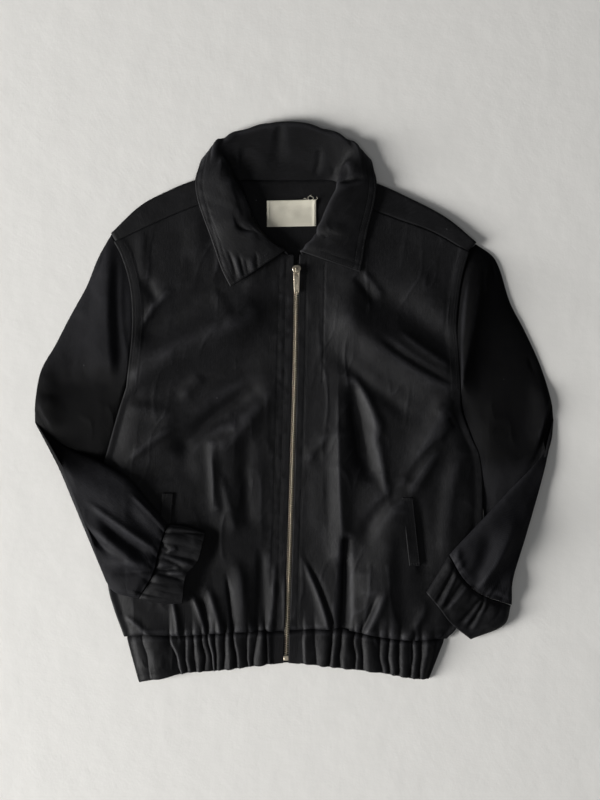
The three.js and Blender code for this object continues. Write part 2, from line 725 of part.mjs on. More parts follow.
function makeCollar() {
  const rows = COLLAR_SECTIONS.map((section) => {
    const clear = (x, y, gap) => (y < SHOULDER_TOP ? frontHeight(x, y) + CLOTH + gap : 0);
    const { nx, ny, fx, fy } = section;
    const n = new THREE.Vector3(nx, ny, Math.max(section.neck, clear(nx, ny, SEAM_GAP)));
    const r = new THREE.Vector3(section.rx, section.ry, section.roll);
    const f = new THREE.Vector3(fx, fy, Math.max(section.edge, clear(fx, fy, FALL_CLEARANCE)));
    const turned = r.clone().lerp(f, 0.14).setZ(section.turn);
    const fall = turned.clone().lerp(f, 0.45);
    fall.z += section.edge > BACK_MIDDLE ? FALL_BULGE : 0;
    const path = [n, n.clone().lerp(r, 0.6).setZ(section.stand), r, turned, fall, f];
    return new THREE.CatmullRomCurve3(path, false, "centripetal").getPoints(10);
  });
  addPiece("collar", clothSolid(rows, CLOTH), BLACK_DENIM);
}

// ---------------------------------------------------------------- welts and label
const WELT = {
  left: { headX: 112.5, headY: -96, footX: 120, footY: -164 },
  right: { headX: -126, headY: -92, footX: -132, footY: -160 },
};
const WELT_WIDTH = 12;

function makeWelt(side) {
  const { headX, headY, footX, footY } = WELT[side];
  const rows = shares(7).map((v) =>
    shares(2).map((u) => {
      const x = lerp(headX, footX, v) + (u - 0.5) * WELT_WIDTH;
      const y = lerp(headY, footY, v);
      return new THREE.Vector3(x, y, frontHeight(x, y) + CLOTH / 2 + SEAM_GAP + SEAM_EASE + TRIM / 2);
    }),
  );
  addPiece(`pocket_welt_${side}`, clothSolid(rows, TRIM), BLACK_DENIM);
}

const LABEL = { x: -3, y: 187.5, width: 49, height: 26, lean: 0.02 };

function makeLabel() {
  const z = CLOTH + SEAM_GAP + TRIM / 2;
  const rows = shares(1).map((v) =>
    shares(1).map((u) => {
      const across = (u - 0.5) * LABEL.width;
      const up = (v - 0.5) * LABEL.height;
      return new THREE.Vector3(LABEL.x + across, LABEL.y + up + across * LABEL.lean, z);
    }),
  );
  addPiece("neck_label", clothSolid(rows, TRIM), CREAM_WOVEN);
}

// ---------------------------------------------------------------- zip
// Each tape lies under its front's folded edge and carries half the teeth.
const TAPE_CLEARANCE = SEAM_GAP + 0.1; // over the back
const TAPE_STEPS = 14;
const TEETH_BOTTOM = CLOTH + SEAM_GAP + TRIM + 0.4;
const TEETH_TOP = TEETH_BOTTOM + TEETH_HEIGHT;

function makeTape(side) {
  const sideward = side === "right" ? -1 : 1;
  const height = CLOTH + TAPE_CLEARANCE + TRIM / 2;
  const rows = shares(TAPE_STEPS).map((v) => {
    const y = lerp(ZIP_FOOT, ZIP_TOP, v);
    const x = xAt(ZIP_LINE, y);
    return [SEAM_GAP / 2, TAPE_WIDTH].map((out) => {
      return new THREE.Vector3(x + sideward * out, y, height);
    });
  });
  addPiece(`zip_tape_${side}`, clothSolid(rows, TRIM), BLACK_TAPE);
}

// A bar of rectangular section along the zip line.
function blockAlong(yFoot, yHead, width, zLow, zHigh, steps) {
  const points = shares(steps).flatMap((v) => {
    const y = lerp(yFoot, yHead, v);
    const x = xAt(ZIP_LINE, y);
    return [
      new THREE.Vector3(x - width / 2, y, zLow),
      new THREE.Vector3(x + width / 2, y, zLow),
      new THREE.Vector3(x + width / 2, y, zHigh),
      new THREE.Vector3(x - width / 2, y, zHigh),
    ];
  });
  const faces = [[0, 1, 2], [0, 2, 3]];
  const last = steps * 4;
  faces.push([last, last + 2, last + 1], [last, last + 3, last + 2]);
  for (let k = 0; k < last; k += 4) {
    for (let side = 0; side < 4; side++) {
      const a = k + side;
      const b = k + ((side + 1) % 4);
      faces.push([a, a + 4, b + 4], [a, b + 4, b]);
    }
  }
  return closedGeometry(points, faces);
}

// The teeth of both tapes, meshed, as one plain bar from the bottom stop up to the slider.
function makeTeeth() {
  const head = SLIDER.y - SLIDER.length / 2 - SEAM_GAP;
  const foot = ZIP_FOOT + STOP_LENGTH + SEAM_GAP;
  addPiece("zip_teeth", blockAlong(foot, head, TEETH_WIDTH, TEETH_BOTTOM, TEETH_TOP, TAPE_STEPS), AGED_BRASS);
  const stopTop = TEETH_TOP + STOP_RISE;
  const stop = blockAlong(ZIP_FOOT, ZIP_FOOT + STOP_LENGTH, STOP_WIDTH, TEETH_BOTTOM, stopTop, 1);
  addPiece("zip_bottom_stop", stop, AGED_BRASS);
}

// ---------------------------------------------------------------- slider and pull tab
const SLIDER_BOTTOM = TEETH_TOP + SEAM_GAP;
const SLIDER_TOP = SLIDER_BOTTOM + SLIDER.plate;
const PIVOT = {
  x: xAt(ZIP_LINE, SLIDER.y),
  y: SLIDER.y,
  z: SLIDER_TOP + TAB_LIFT + TAB.thickness / 2,
};

// A closed mesh as a solid that can be joined and cut, and back again.
const wasm = await Module();
wasm.setup();

function asSolid(geometry) {
  const bare = geometry.clone();
  bare.deleteAttribute("normal");
  bare.deleteAttribute("uv");
  const merged = mergeVertices(bare, 1e-4);
  return new wasm.Manifold(
    new wasm.Mesh({
      numProp: 3,
      vertProperties: merged.attributes.position.array,
      triVerts: new Uint32Array(merged.index.array),
    }),
  );
}

function asGeometry(solid) {
  const { vertProperties, triVerts } = solid.getMesh();
  const geometry = new THREE.BufferGeometry();
  geometry.setAttribute("position", new THREE.BufferAttribute(vertProperties, 3));
  geometry.setIndex(new THREE.BufferAttribute(triVerts, 1));
  return geometry;
}

const extruded = (shape, depth) => {
  return new THREE.ExtrudeGeometry(shape, { depth, bevelEnabled: false, curveSegments: 6 });
};

// The slider: a shield-shaped plate over the teeth, with the arched loop that holds the tab. Its shape
// is drawn about its own middle, the wide end towards the open side of the zip.
function makeSlider() {
  const wide = SLIDER.width / 2;
  const narrow = SLIDER.neckWidth / 2;
  const end = SLIDER.length / 2;
  const shield = new THREE.Shape();
  shield.moveTo(-narrow, -end);
  shield.lineTo(narrow, -end);
  shield.quadraticCurveTo(narrow + 0.3, 0, wide, end * 0.45);
  shield.quadraticCurveTo(wide, end, 0, end);
  shield.quadraticCurveTo(-wide, end, -wide, end * 0.45);
  shield.quadraticCurveTo(-narrow - 0.3, 0, -narrow, -end);
  const plate = extruded(shield, SLIDER.plate);

  const foot = BAIL.length / 2;
  const inside = foot - BAIL.thickness;
  const room = TAB_LIFT + TAB.thickness + SEAM_GAP;
  const arch = new THREE.Shape();
  arch.moveTo(-foot, -SLIDER.plate / 2);
  arch.lineTo(-foot, room);
  arch.quadraticCurveTo(-foot, room + BAIL.thickness, -inside, room + BAIL.thickness);
  arch.lineTo(inside, room + BAIL.thickness);
  arch.quadraticCurveTo(foot, room + BAIL.thickness, foot, room);
  arch.lineTo(foot, -SLIDER.plate / 2);
  arch.lineTo(inside, -SLIDER.plate / 2);
  arch.lineTo(inside, room);
  arch.lineTo(-inside, room);
  arch.lineTo(-inside, -SLIDER.plate / 2);
  arch.closePath();
  const bail = extruded(arch, BAIL.width);
  bail.translate(0, 0, -BAIL.width / 2);
  bail.rotateX(Math.PI / 2);
  bail.rotateZ(Math.PI / 2);
  bail.translate(0, 0, SLIDER.plate);

  const slider = addPiece("zip_slider", asGeometry(asSolid(plate).add(asSolid(bail))), AGED_BRASS);
  slider.position.set(PIVOT.x, PIVOT.y, SLIDER_BOTTOM);
}

// The pull tab: a tapered plate with a round end, whose slot goes round the slider's loop. Its group
// stands at the pivot, so that the tab turns about the bar at the head of the slot.
function makePullTab() {
  const bar = TAB.thickness / 2;
  const head = TAB.width / 2;
  const tail = TAB.endWidth / 2;
  const outlineOfTab = new THREE.Shape();
  outlineOfTab.moveTo(-head, bar);
  outlineOfTab.lineTo(head, bar);
  outlineOfTab.lineTo(tail, bar - TAB.length + tail);
  outlineOfTab.absarc(0, bar - TAB.length + tail, tail, 0, -Math.PI, true);
  outlineOfTab.lineTo(-head, bar);
  const slot = new THREE.Path();
  slot.moveTo(-TAB.slotWidth / 2, -bar);
  slot.lineTo(-TAB.slotWidth / 2, -bar - TAB.slotLength);
  slot.lineTo(TAB.slotWidth / 2, -bar - TAB.slotLength);
  slot.lineTo(TAB.slotWidth / 2, -bar);
  slot.closePath();
  outlineOfTab.holes.push(slot);
  const plate = extruded(outlineOfTab, TAB.thickness);
  plate.translate(0, 0, -TAB.thickness / 2);
  const tab = addPiece("zip_pull_tab", plate, AGED_BRASS);
  tab.position.set(PIVOT.x, PIVOT.y, PIVOT.z);
  tab.rotation.x = THREE.MathUtils.degToRad(TAB_DROP);
}

for (const side of ["right", "left"]) {
  makeFront(side);
  makeSleeve(side);
  makeCuff(side);
  makeHemFront(side);
  makeWelt(side);
  makeTape(side);
}
makeBack();
makeHemBack();
makeCollar();
makeLabel();
makeTeeth();
makeSlider();
makePullTab();

export default jacket;
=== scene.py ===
"""A child's black denim blouson with a zip front, laid flat on its back with both forearms folded in.

Every cloth piece is worked out as the middle surface of one layer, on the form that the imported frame
holds, then given its creases, gathers, seams and wall. Lengths in the tables are millimetres in the
frame's own axes: +X to the wearer's left, +Y to the collar, +Z up from the surface.
"""

import json
import math

import bmesh
import bpy
import numpy as np
from bpy.props import FloatProperty, FloatVectorProperty, IntProperty, PointerProperty
from bpy.types import Operator, Panel, PropertyGroup
from mathutils import Matrix, Vector


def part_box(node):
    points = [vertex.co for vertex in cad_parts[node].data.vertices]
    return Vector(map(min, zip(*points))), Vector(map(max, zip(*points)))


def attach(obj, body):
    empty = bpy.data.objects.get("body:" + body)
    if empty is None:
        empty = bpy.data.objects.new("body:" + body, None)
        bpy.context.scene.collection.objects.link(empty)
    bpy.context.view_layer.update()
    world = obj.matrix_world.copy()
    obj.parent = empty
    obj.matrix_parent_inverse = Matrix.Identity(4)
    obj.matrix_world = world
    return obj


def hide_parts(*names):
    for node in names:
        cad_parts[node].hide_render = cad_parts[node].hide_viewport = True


bl_info = {
    "name": "Zip blouson, laid flat",
    "version": (1, 0, 0),
    "blender": (4, 5, 0),
    "location": "View3D > Sidebar > Blouson",
    "description": "Builds a black denim blouson laid flat, piece by piece, on its packed frame",
    "category": "Object",
}

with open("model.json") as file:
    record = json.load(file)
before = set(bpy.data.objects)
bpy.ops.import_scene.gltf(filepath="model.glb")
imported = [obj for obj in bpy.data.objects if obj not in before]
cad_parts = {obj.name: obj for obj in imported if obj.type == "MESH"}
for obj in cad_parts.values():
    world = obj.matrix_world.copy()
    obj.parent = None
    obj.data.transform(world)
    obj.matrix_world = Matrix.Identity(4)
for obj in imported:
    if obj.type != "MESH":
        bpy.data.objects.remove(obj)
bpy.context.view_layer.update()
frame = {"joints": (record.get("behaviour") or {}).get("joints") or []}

MM = 0.001
SIDES = ("right", "left")
SIDEWARD = {"right": -1.0, "left": 1.0}
CLOTH_BODY = "jacket"
TAB_BODY = "pull_tab"
CLOTH_SUFFIX = "_cloth"  # a sheet's piece is named after its node, with this


# ---------------------------------------------------------------- sizes and colours that a user may change
def length(name, description, default, low, high):
    """A length that a user may change, its default and limits in mm."""
    return FloatProperty(
        name=name, description=description, default=default * MM, min=low * MM, max=high * MM, unit="LENGTH"
    )


class BlousonCloth(PropertyGroup):
    """The denim: its wall, weave and colour."""

    wall: length("Wall", "Thickness of one layer of cloth", 0.9, 0.4, 3)
    collar_wall: length("Collar wall", "Thickness of the collar's two layers", 1.5, 0.8, 4)
    casing_wall: length("Casing wall", "Thickness of the folded hem and cuff casings", 1.3, 0.8, 4)
    twill_pitch: length("Twill pitch", "Distance between the diagonal ribs of the weave", 0.9, 0.3, 3)
    color: FloatVectorProperty(
        name="Colour", description="Colour of the denim", default=(0.0024, 0.0024, 0.0029),
        min=0, max=1, size=3, subtype="COLOR",
    )
    worn_color: FloatVectorProperty(
        name="Worn colour", description="Colour where edges and folds are rubbed",
        default=(0.0190, 0.0190, 0.0216), min=0, max=1, size=3, subtype="COLOR",
    )
    crease_depth: FloatProperty(
        name="Crease depth", description="Scale of every crease and fold", default=1.0,
        min=0, max=2, subtype="FACTOR",
    )


class BlousonSewing(PropertyGroup):
    """Topstitching and gathers."""

    stitch_pitch: length("Stitch pitch", "Distance from one stitch to the next", 2.6, 1.5, 6)
    stitch_length: length("Stitch length", "Length of the thread that shows in one stitch", 1.9, 1, 5)
    thread: length("Thread", "Thickness of the sewing thread", 0.42, 0.2, 1)
    cuff_gather: length("Cuff gather", "Mean distance between gathers of a cuff", 9, 5, 20)
    seed: IntProperty(
        name="Seed", description="Choice of uneven cuff gathers and stitches", default=11, min=0, max=999,
    )


class BlousonZip(PropertyGroup):
    """The zip and its metal."""

    pitch: length("Pitch", "Distance between two teeth of one row", 2.24, 1, 5)
    color: FloatVectorProperty(
        name="Metal", description="Colour of the aged brass", default=(0.60, 0.53, 0.42),
        min=0, max=1, size=3, subtype="COLOR",
    )


class BlousonStage(PropertyGroup):
    """Floor, camera and lights."""

    camera_height: FloatProperty(
        name="Camera height", description="Height of the camera above the floor", default=2.2,
        min=0.8, max=6, unit="LENGTH",
    )
    framed_height: FloatProperty(
        name="Framed height", description="Length of floor that the picture's height takes in",
        default=0.8, min=0.4, max=3, unit="LENGTH",
    )
    floor_color: FloatVectorProperty(
        name="Floor", description="Colour of the floor", default=(0.80, 0.79, 0.765),
        min=0, max=1, size=3, subtype="COLOR",
    )
    key_strength: FloatProperty(
        name="Key light", description="Power of the large soft light", default=462.0, min=0, max=2000,
    )


# ---------------------------------------------------------------- outlines of the pieces, x and y in mm
ZIP_LINE = [(-8.5, -261), (-4.5, -139), (0.5, 29), (2.5, 149)]

BODY = {
    "right": {
        "side": [(-168, -235), (-178.5, -206), (-183.5, -187), (-187.5, -129), (-189, -67),
                 (-184, -47), (-172, -5), (-165.5, 14)],
        "armhole": [(-165.5, 14), (-161.5, 49), (-159.5, 83), (-162.5, 118), (-171.5, 147), (-178, 159)],
        "shoulder": [(-182, 166), (-152.5, 194), (-126.5, 208), (-99.5, 219), (-66, 225)],
        "forward_seam": [(-178, 159), (-133.5, 180), (-94.5, 196), (-68, 203)],
        "neckline": [(-68, 203), (-66, 184), (-57, 165), (-34, 153), (-1, 146)],
        "hem_seam": [(-10, -230.5), (-60, -230.5), (-116, -234), (-146, -233), (-168, -235)],
        "hem_edge": [(-11, -261), (-77, -269), (-109, -271.5), (-132, -276.5), (-155, -280.5)],
        "hem_corner": (-167, -236.6),
    },
    "left": {
        "side": [(150, -237), (160, -226), (181, -159), (186, -99), (182.5, -53), (176.5, -40),
                 (164.5, -8), (163.5, 8)],
        "armhole": [(163.5, 8), (161.5, 49), (159.5, 75), (161.5, 101), (165.5, 126), (172, 149)],
        "shoulder": [(180, 157), (151.5, 181), (112.5, 202), (81.5, 216), (48, 225)],
        "forward_seam": [(172, 149), (138.5, 168), (103.5, 181), (79.5, 190), (51, 200)],
        "neckline": [(51, 200), (45, 183), (35, 166), (20, 154), (6, 146)],
        "hem_seam": [(-3, -230), (46, -228), (89, -235.5), (120, -238.5), (150, -237)],
        "hem_edge": [(-3, -261), (41, -266), (85, -271), (123, -277.5), (134, -277)],
        "hem_corner": (149, -238.6),
    },
}

SLEEVE = {
    "right": {
        "outer": [(-181.5, 166), (-195.5, 142), (-207.5, 114), (-223.5, 85), (-238.5, 56), (-253, 30),
                  (-259, -4), (-259, -21)],
        "under": [(-166.8, 13), (-173.3, -5), (-185.5, -47), (-191.2, -67), (-189.5, -129), (-187, -181)],
        "crease": [(-259, -21), (-235, -66), (-221.5, -98), (-204, -140), (-187, -181)],
        "forearm_top": [(-259, -21), (-227.5, -46), (-193.5, -60), (-164.5, -78), (-150.5, -94),
                        (-127, -122.5)],
        "forearm_under": [(-187, -181), (-179, -190), (-155.5, -196)],
        "cuff_seam": [(-127, -122.5), (-135, -148), (-140.5, -171), (-155.5, -196)],
        "cuff_top": [(-126.4, -122.6), (-110, -124), (-88.5, -131)],
        "cuff_under": [(-154.9, -196.6), (-132, -201), (-111.5, -201.5)],
        "cuff_opening": [(-88.5, -131), (-96.5, -160), (-107, -172), (-111.5, -201.5)],
        "away": (-0.92, -0.39),
    },
    "left": {
        "outer": [(180, 156), (197, 144), (204, 132), (215.5, 97), (229.5, 70), (246.5, 32), (257, -4),
                  (258.5, -19)],
        "under": [(165.2, 7), (167.2, -10), (179.2, -42), (185.6, -60), (188.6, -99), (194, -130),
                  (214, -180)],
        "crease": [(258.5, -19), (249, -62), (237, -107), (224.5, -150), (214, -180)],
        "forearm_top": [(258.5, -19), (254, -45), (210, -94), (167.5, -139), (154.5, -153)],
        "forearm_under": [(214, -180), (216.5, -192), (216.5, -203)],
        "cuff_seam": [(154.5, -153), (168, -176), (185, -191), (216.5, -203)],
        "cuff_top": [(154.1, -153.7), (143, -172), (131.5, -190.5)],
        "cuff_under": [(216, -203.8), (210, -222), (176, -237.5)],
        "cuff_opening": [(131.5, -190.5), (144.5, -206), (155.5, -220.5), (176, -237.5)],
        "away": (0.96, -0.27),
    },
}

# The collar in sections round the neck, from the wearer's right front end over the back to the left:
# neck seam n, roll r and the fall's edge f in plan, then heights at the seam, up the stand, at the
# roll, past it and at the edge.
COLLAR_COLUMNS = ("nx", "ny", "rx", "ry", "fx", "fy", "neck", "stand", "roll", "turn", "edge")
COLLAR_SECTIONS = [
    (-6, 146, -9, 150, -63.5, 114, 5.7, 7.2, 8.4, 9.6, 9.2),
    (-20, 155, -25, 160, -72, 131, 4.6, 9.4, 10.4, 11.4, 8.6),
    (-30, 166, -40, 169, -79, 151, 4.2, 10.4, 11.6, 12.6, 8.4),
    (-40, 181, -57, 176, -86.5, 172, 4, 10.8, 12.4, 13.4, 8.6),
    (-44, 192, -53, 190, -92, 187, 3.6, 11, 13, 14, 8.6),
    (-48, 202, -57, 203, -96, 200, 3.4, 11, 13.2, 14.2, 8.6),
    (-52, 213, -62, 218, -98.5, 215, 3.2, 10.6, 13.2, 14.2, 8.6),
    (-55, 219.6, -71, 238, -96.5, 229, 2.8, 9, 11.6, 12.6, 7),
    (-51, 221, -78, 259, -87, 246, 2.4, 6, 8, 6.4, 2.2),
    (-43, 221, -61, 268, -62, 238, 2.4, 5.4, 6, 1.9, 0.6),
    (-27, 221, -37, 274.6, -38, 232, 2.4, 5.4, 5.6, 1.2, 0.6),
    (-11, 221, -13, 278, -12, 230, 2.4, 5.4, 5.6, 1.2, 0.6),
    (4, 221, 14, 276.4, 14, 231, 2.4, 5.4, 5.6, 1.2, 0.6),
    (21, 221, 42, 267.6, 44, 237, 2.4, 5.6, 6, 1.9, 0.6),
    (34, 221, 62, 256, 72, 243, 2.4, 6.4, 8, 6.4, 2.2),
    (42, 219, 52, 234, 79.5, 228, 4.6, 9, 11.4, 13, 7.4),
    (48, 212, 43, 217, 81.5, 214, 5.9, 10, 13, 14.6, 9.4),
    (51, 199, 37, 202, 80, 199, 5.9, 10, 13, 14.6, 9),
    (46, 185, 30, 187, 76.5, 184, 5.7, 9.6, 12.5, 14.2, 8.6),
    (37, 171, 23, 172, 73, 170, 5.7, 9.2, 12, 13.4, 8.2),
    (27, 160, 19, 163, 70, 155, 5.7, 8.6, 11, 12.4, 8),
    (17, 152, 12, 156, 68, 141, 5.7, 8, 10, 11.2, 8.2),
    (8, 146, 6, 149.5, 65.5, 129, 5.7, 7.2, 8.4, 9.4, 8.8),
]

# Folds of the fronts: a line from (x1, y1) to (x2, y2), its half width and its rise, negative for a trough.
FRONT_FOLDS = [
    (-157, 30, -42, 84, 17, 3.0), (-142, 70, -62, 122, 15, -2.0), (-153, 2, -25, 42, 15, -1.8),
    (-108, -42, -42, 8, 13, -2.4), (-70, -42, -14, 2, 13, 1.6), (-82, -44, -78, -106, 5, 0.8),
    (-48, -45, -46, -115, 10, -1.4), (54, 80, 160, 10, 20, 3.2), (76, 112, 157, 56, 12, -1.2),
    (60, 8, 74, -70, 10, -2.6), (43, -36, 46, -150, 10, 2.2), (52, -140, 52, -226, 4.5, -2.0),
    (148, -14, 118, -80, 12, 2.4), (98, -105, 92, -215, 24, 3.2),
]

# Smaller folds of the shown faces: a line from (x1, y1) to (x2, y2) that bows sideways, its half width at
# either end, its rise, negative for a trough, and how crisp it is, from 0 for a soft roll to 1. A tenth
# value multiplies the half width on the side to the right of the line.
FRONT_CREASES = {
    "right": [
        (-150, 40, -60, 84, 2, 9, 12, 1.2, 0), (-153, 70, -124, 110, 4, 3, 5, 1.8, 0.4),
        (-150, 122, -138, 98, 0, 6, 6, -1.8, 0.1), (-153, 172, -151, 120, 0, 6, 6, 1.2, 0.1),
        (-100, 188, -98, 142, 0, 10, 12, 1.4, 0), (-84, 112, -62, 70, 3, 6, 8, 0.9, 0.1),
        (-114, 2, -92, 24, 1, 6, 7, 1.6, 0.1), (-168, -6, -120, -20, 3, 8, 8, 1.4, 0),
        (-100, -34, -48, 8, 2, 9, 10, -1.8, 0.1), (-56, -26, -16, 12, 2, 8, 9, 1.2, 0),
        (-168, -62, -122, -26, 2, 5, 6, 2.0, 0.2), (-152, -78, -100, -66, 2, 10, 12, -1.6, 0),
        (-107, -56, -62, -22, 5, 7, 7, 1.6, 0.1), (-83, -50, -81, -104, 1, 1.4, 2.4, 1.3, 0.9, 2.0),
        (-74, -72, -60, -132, 1, 4, 5, 1.4, 0.3), (-50, -60, -46, -124, -1, 5, 8, -1.2, 0.1),
        (-88, -104, -84, -182, 0, 12, 12, -1.8, 0), (-112, -104, -108, -190, 0, 12, 12, 1.2, 0),
        (-130, -120, -134, -190, 0, 8, 9, -1.4, 0), (-68, -172, -61, -240, 1, 2.4, 3, -3.0, 0.8),
        (-58, -158, -49, -236, 1, 6, 8, 2.8, 0.2), (-87, -186, -73, -240, 2, 3.6, 4.6, 3.0, 0.4),
        (-94, -192, -85, -238, 1, 3, 3.6, -2.4, 0.4), (-104, -190, -88, -236, 2, 2.4, 3, 2.4, 0.6),
        (-122, -196, -116, -238, 1, 2.2, 3, 2.2, 0.7), (-33, -140, -33, -236, 0, 5, 6, -2.6, 0.1),
        (-20, -166, -26, -238, 1, 3, 4, 2.2, 0.4), (-11, -172, -8, -238, 0, 2.4, 3, 1.4, 0.4),
        (-172, -214, -143, -240, 3, 3, 4, 2.2, 0.5), (-66, -10, -60, -30, 0, 5, 5, 0.8, 0.2),
    ],
    "left": [
        (44, 24, 48, -140, -2, 2, 2.5, 0.9, 0.9), (67, 130, 88, 102, 1, 3.4, 5, 1.6, 0.3),
        (60, 124, 78, 98, 1, 3, 4, -1.2, 0.3), (112, 128, 160, 74, 2, 14, 14, 2.0, 0),
        (104, 70, 158, 32, -1, 4, 5, 1.6, 0.3), (82, 66, 158, 18, -3, 4, 4, -2.2, 0.4),
        (62, 66, 150, 8, -3, 11, 12, 1.6, 0), (38, 50, 118, -16, -3, 7, 8, -2.2, 0.1),
        (58, 26, 86, -32, 2, 4, 6, 3.0, 0.2), (56, 4, 66, -64, 1, 5, 7, -2.6, 0.2),
        (76, -18, 92, -92, 1, 9, 3, 2.2, 0.2), (36, -30, 12, -62, -2, 5, 6, 1.4, 0.1),
        (22, -70, 26, -130, 0, 9, 9, 1.2, 0), (154, -16, 160, -26, 0, 2, 2, -2.0, 0.6),
        (152, -22, 124, -80, 2, 5, 6, 1.4, 0.2), (160, -30, 110, -90, -6, 6, 6, -2.6, 0.2),
        (110, -86, 68, -138, -5, 7, 8, -3.0, 0.1), (164, -46, 150, -160, -3, 8, 9, 2.4, 0.1),
        (122, -92, 128, -180, 0, 7, 9, -2.2, 0), (104, -128, 106, -236, 0, 8, 12, -2.4, 0),
        (132, -200, 108, -240, 3, 5, 5, 2.2, 0.3), (49, -138, 45, -240, 2, 2.2, 6, -3.6, 0.5),
        (70, -166, 74, -196, 0, 11, 9, 1.6, 0), (7, -156, 37, -238, 3, 2.6, 3.4, 2.4, 0.6),
        (13, -160, 42, -238, 3, 2.2, 3, -2.0, 0.6), (91, -188, 68, -238, 2, 4, 5, 2.6, 0.4),
        (82, -194, 63, -238, 1, 2.6, 3, -2.4, 0.5), (66, -73, 99, -73.5, 0, 0.8, 0.8, 0.3, 1),
    ],
}

# Painted shade, a stand-in for slopes that the sleeves lack: they lie too level to turn from low light by
# their shape, so between these two heights along Y each is darkened by the third value.
PAINTED_ARM_SHADE = {"right": (-50, 0, 1.1), "left": (-50, 170, 0.95)}

SLEEVE_CREASES = {
    "right": {
        "upper": [
            (-187, 166, -184, 16, -3, 9, 9, 6.8, 0.1, 2.4),
            (-177, 150, -172, 24, -4, 3.5, 4.5, -0.7, 0.1), (-170, 150, -166, 40, -5, 3, 3, 1.0, 0.2),
            (-190, 156, -203, 118, 3, 1.6, 3, -1.8, 0.5), (-208, 116, -216, 84, 1, 4, 7, 1.4, 0.1),
            (-252, 10, -246, -30, 0, 12, 12, 2.4, 0), (-254, 14, -172, 22, 2, 12, 12, -1.2, 0),
            (-250, 30, -246, 8, 1, 8, 8, 0.9, 0),
        ],
        "forearm": [
            (-206, -100, -136, -148, -1, 3, 4, 3.2, 0.5), (-194, -116, -146, -153, -2, 5, 6, -4.6, 0.2),
            (-200, -126, -150, -166, -1, 4, 6, 3.0, 0.3), (-222, -110, -184, -151, -2, 2, 4, -3.2, 0.4),
            (-163, -92, -131, -124, 1, 2.4, 3, 2.0, 0.4), (-168, -104, -138, -138, -1, 6, 7, -2.2, 0.1),
            (-238, -58, -160, -108, -2, 12, 12, 1.4, 0), (-180, -172, -140, -168.6, 1, 5, 2.4, -2.4, 0.4),
            (-188, -160, -140, -161, 0, 6, 4, 2.0, 0.2),
        ],
    },
    "left": {
        "upper": [
            (186, 142, 164, 12, 3, 5, 4, 2.4, 0.3, 2.0), (174, 138, 173, -90, -7, 52, 45, 6.0, 0.6, 0.09),
            (196, 144, 199, 124, 0, 1.6, 2, -1.6, 0.4), (192, 138, 190, 108, 0, 1.6, 2.4, 1.0, 0.3),
            (250, 24, 254, -44, 2, 6, 7, 4.4, 0.1, 2.4), (234, 44, 240, 30, 0, 3, 3, -1.2, 0.3),
        ],
        "forearm": [
            (222, -116, 184, -184, 4, 6, 3, 3.4, 0.3, 1.3), (226, -136, 198, -190, 3, 8, 7, -3.0, 0.1),
            (196, -128, 176, -182, 3, 9, 6, -3.0, 0.1), (236, -98, 222, -150, 2, 8, 8, 1.4, 0),
            (160, -140, 168, -170, -2, 5, 3, 1.8, 0.2), (197, -192, 217, -199, 0, 2.4, 2.4, -1.6, 0.5),
            (246, -70, 196, -112, -1, 12, 12, -1.0, 0),
        ],
    },
}
CUFF_CREASES = {
    "right": [
        (-128, -130, -89, -132.5, 0.6, 1.6, 1.6, -2.2, 0.8), (-127, -138.5, -93, -139, 0, 6, 7, 1.0, 0),
        (-134, -142, -124, -148, 0, 2.5, 2.5, -2.2, 0.7), (-128, -150, -117, -146, 0, 2.5, 2.5, 1.5, 0.6),
        (-138, -150.6, -94, -159.5, 1, 2, 2, -2.2, 0.8),
        (-137, -152.5, -111, -165, 0.5, 1.8, 1.8, -2.0, 0.8),
        (-133, -156, -99, -164, 0.5, 2.5, 2.5, 1.5, 0.5),
        (-140, -168.3, -117, -166.5, 0, 3, 3, -3.2, 0.7), (-127, -170, -107, -171, 0, 3, 3, 2.0, 0.4),
        (-142, -170.6, -110, -178, 1, 1.8, 1.8, -2.2, 0.8), (-142, -183, -110, -187, 0, 8, 8, 1.4, 0),
        (-138, -186, -110, -192, -1, 1.2, 1.2, -0.7, 0.8),
    ],
    "left": [
        (161, -166, 141, -200, 0, 2, 2, -2.6, 0.7), (163.5, -168.5, 145, -204, 0, 2, 2, 1.7, 0.6),
        (169, -176, 148, -207, 1, 2, 2, -2.0, 0.7), (173, -181, 151, -207, 1, 2.4, 2.4, 1.7, 0.5),
        (176, -189, 155, -214, 0, 6, 6, 1.1, 0), (189, -191.5, 163.5, -221.5, 0.6, 1.8, 1.8, -2.2, 0.8),
        (189.6, -193.5, 168, -224.5, 0.6, 1.6, 1.6, 1.5, 0.6),
        (190.4, -195.3, 172.5, -226, 0.6, 1.8, 1.8, -2.0, 0.8),
        (191.5, -196.3, 177.5, -228, 0.6, 2, 2, 1.5, 0.6), (203.5, -202.8, 191, -228, 0, 9, 9, 1.4, 0),
    ],
}

